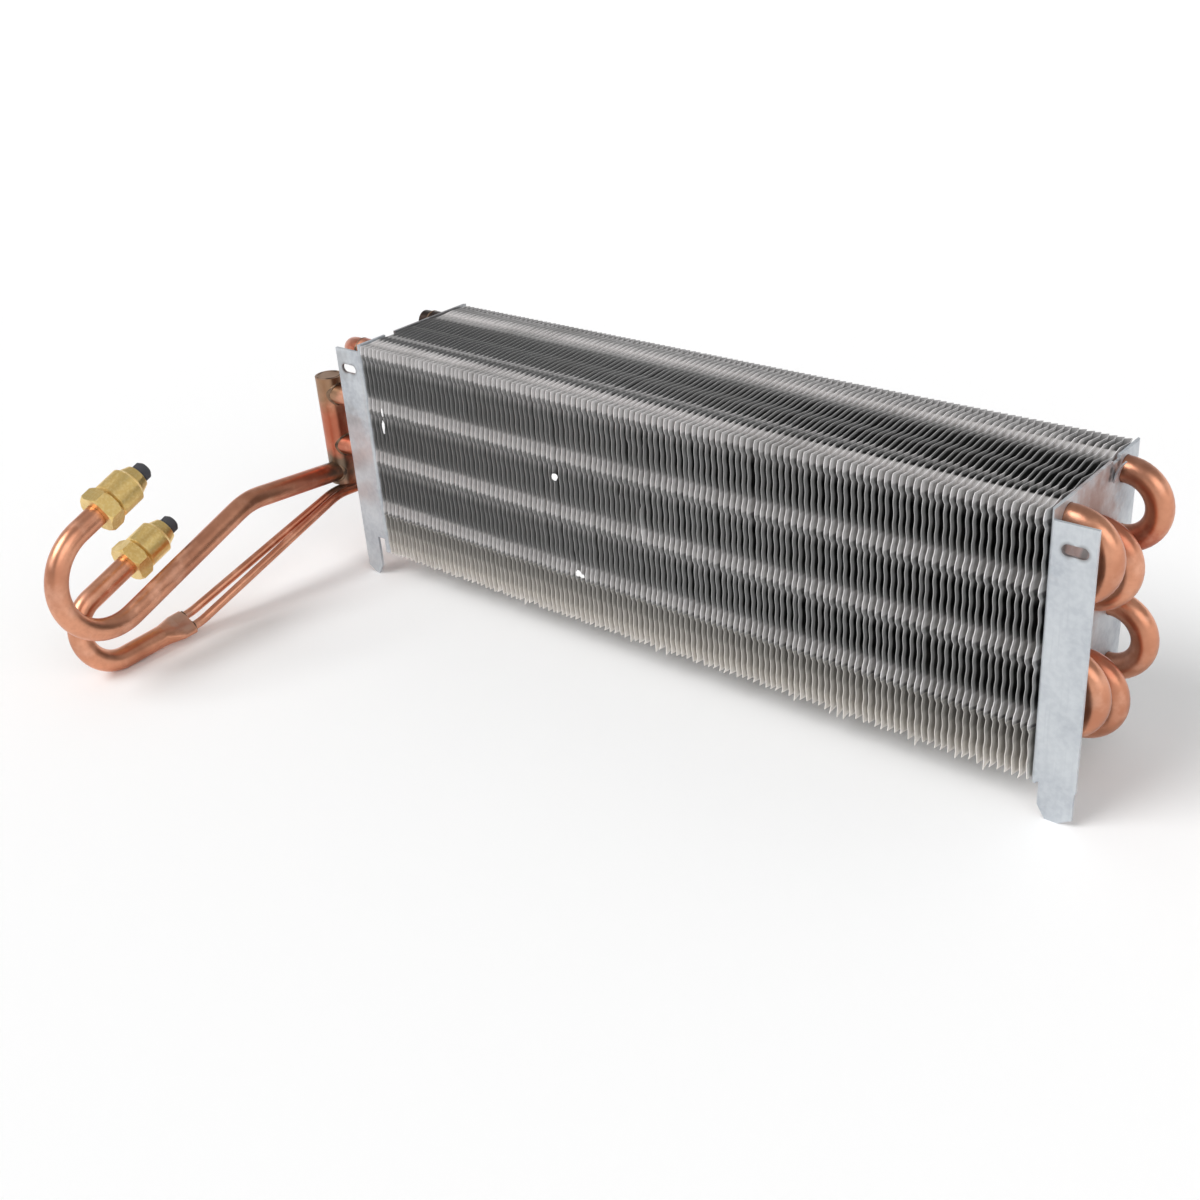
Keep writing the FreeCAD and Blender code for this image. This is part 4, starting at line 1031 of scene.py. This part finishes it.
class EVAPORATOR_OT_braze(bpy.types.Operator):
    """Model the brazed joints"""

    bl_idname = "evaporator.braze"
    bl_label = "Brazed joints"

    def execute(self, context):
        material = finish_of("brazing_alloy", braze_material, context.scene.evaporator_finish)
        rings = []
        for column in range(COLUMNS):
            for row in range(ROWS):
                centre = Vector((CUP_MOUTH_X, COLUMN_Y[column], tube_z(column, row))) / MM
                rings.append(braze_ring(centre, (1, 0, 0), TUBE_RADIUS, CUP_FILLET, 10 * column + row))
        smooth(join_pieces(rings), 60)
        add_piece(context.object, "cup_braze", material)

        rings = [braze_ring(*joint, seed) for seed, joint in enumerate(HEADER_PLUGS)]
        rings += [braze_ring(*joint, seed, HEADER_RADIUS) for seed, joint in enumerate(HEADER_SIDES)]
        smooth(join_pieces(rings), 60)
        add_piece(context.object, "header_braze", material)

        rings = [alloy_pool(CRIMP, CRIMP_AXIS, CRIMP_LONG, *CRIMP_POOL, 5)]
        rings += [braze_ring(*joint, seed) for seed, joint in enumerate(THIN_JOINTS)]
        smooth(join_pieces(rings), 60)
        add_piece(context.object, "thin_tube_braze", material)
        return {"FINISHED"}


class EVAPORATOR_OT_fittings(bpy.types.Operator):
    """Finish the union nuts, couplings and dust caps"""

    bl_idname = "evaporator.fittings"
    bl_label = "Fittings"

    def execute(self, context):
        colours = context.scene.evaporator_finish
        brass = finish_of("turned_brass", brass_material, colours)
        rubber = finish_of("cap_rubber", cap_material, colours)
        for line in ("suction", "liquid"):
            dress_nodes([f"{line}_union_nut", f"{line}_coupling"], brass)
            dress_nodes([f"{line}_dust_cap"], rubber)
        return {"FINISHED"}


FLOOR_RADIUS = 5.0
# The rim of the floor: how much each ring widens and how far it rises, in metres.
FLOOR_RIM = ((1.02, 0.0), (1.08, 0.04), (1.06, 0.12), (1.04, 0.25), (1.02, 0.45), (1.0, 1.2))
# Lamps: name, setting of the strength, direction they shine from, and their width in degrees.
LAMPS = (
    ("key_light", "key_strength", (-0.45, -0.75, 1.0), 35),
    ("fill_light", "fill_strength", (0.9, -0.35, 0.55), 50),
)
# The camera, fitted to the photo.
CAMERA_PLACE = (0.32995, -0.39647, 0.21404)
CAMERA_RIGHT = (0.7622, 0.6436, -0.0704)
CAMERA_UP = (-0.2470, 0.3896, 0.8872)
CAMERA_SENSOR = 36
CAMERA_SHIFT = (0.0031, -0.028)
CAMERA_CLIP = (0.01, 50)


class EVAPORATOR_OT_stage(bpy.types.Operator):
    """Set the floor, the light and the camera"""

    bl_idname = "evaporator.stage"
    bl_label = "Stage"

    def execute(self, context):
        settings = context.scene.evaporator_stage
        bpy.ops.mesh.primitive_circle_add(vertices=96, radius=FLOOR_RADIUS, fill_type="NGON",
                                          location=(0, 0, FLOOR_Z))
        floor = context.object
        floor.name = "stage_floor"
        bpy.ops.object.mode_set(mode="EDIT")
        bpy.ops.mesh.select_mode(type="EDGE")
        for outward, upward in FLOOR_RIM:
            bpy.ops.mesh.select_all(action="DESELECT")
            bpy.ops.mesh.select_non_manifold(extend=False)
            bpy.ops.mesh.extrude_edges_move(TRANSFORM_OT_translate={"value": (0, 0, upward)})
            bpy.ops.transform.resize(value=(outward, outward, 1), center_override=(0, 0, 0))
        bpy.ops.mesh.select_all(action="SELECT")
        bpy.ops.mesh.normals_make_consistent(inside=False)
        bpy.ops.object.mode_set(mode="OBJECT")
        smooth(floor)
        floor.data.materials.append(floor_material(settings.floor_colour))
        floor.visible_shadow = False

        world = bpy.data.worlds.new("room")
        world.use_nodes = True
        room = world.node_tree.nodes["Background"]
        room.inputs["Color"].default_value = (*settings.sky_colour, 1.0)
        room.inputs["Strength"].default_value = settings.sky_strength
        context.scene.world = world

        for name, strength, source, width in LAMPS:
            bpy.ops.object.light_add(type="SUN", location=source)
            lamp = context.object
            lamp.name = name
            lamp.rotation_euler = Vector(source).to_track_quat("Z", "Y").to_euler()
            lamp.data.energy = getattr(settings, strength)
            lamp.data.angle = math.radians(width)

        bpy.ops.object.camera_add()
        camera = context.object
        camera.name = "camera"
        right = Vector(CAMERA_RIGHT)
        back = right.cross(Vector(CAMERA_UP)).normalized()
        up = back.cross(right).normalized()
        turn = Matrix((right.normalized(), up, back)).transposed().to_4x4()
        camera.matrix_world = Matrix.Translation(CAMERA_PLACE) @ turn
        camera.data.sensor_width = CAMERA_SENSOR
        camera.data.lens = settings.lens
        camera.data.shift_x, camera.data.shift_y = CAMERA_SHIFT
        camera.data.clip_start, camera.data.clip_end = CAMERA_CLIP
        context.scene.camera = camera
        context.scene.view_settings.view_transform = "Standard"
        return {"FINISHED"}


OPERATORS = (
    EVAPORATOR_OT_stage,
    EVAPORATOR_OT_fins,
    EVAPORATOR_OT_end_plates,
    EVAPORATOR_OT_copper,
    EVAPORATOR_OT_braze,
    EVAPORATOR_OT_fittings,
)


class EVAPORATOR_PT_build(bpy.types.Panel):
    """Lists the steps that dress the core"""

    bl_idname = "EVAPORATOR_PT_build"
    bl_label = "Evaporator core"
    bl_space_type = "VIEW_3D"
    bl_region_type = "UI"
    bl_category = "Evaporator"

    def draw(self, context):
        for step in OPERATORS:
            self.layout.operator(step.bl_idname)
        for group in ("evaporator_fins", "evaporator_finish", "evaporator_stage"):
            settings = getattr(context.scene, group)
            box = self.layout.box()
            for key in type(settings).__annotations__:
                box.prop(settings, key)


CLASSES = (
    EvaporatorFinSettings,
    EvaporatorFinishSettings,
    EvaporatorStageSettings,
    *OPERATORS,
    EVAPORATOR_PT_build,
)


def register():
    for each in CLASSES:
        bpy.utils.register_class(each)
    bpy.types.Scene.evaporator_fins = PointerProperty(type=EvaporatorFinSettings)
    bpy.types.Scene.evaporator_finish = PointerProperty(type=EvaporatorFinishSettings)
    bpy.types.Scene.evaporator_stage = PointerProperty(type=EvaporatorStageSettings)


def unregister():
    del bpy.types.Scene.evaporator_stage
    del bpy.types.Scene.evaporator_finish
    del bpy.types.Scene.evaporator_fins
    for each in reversed(CLASSES):
        bpy.utils.unregister_class(each)


def main():
    register()
    for step in OPERATORS:
        getattr(bpy.ops.evaporator, step.bl_idname.split(".")[1])()


if __name__ == "__main__":
    main()
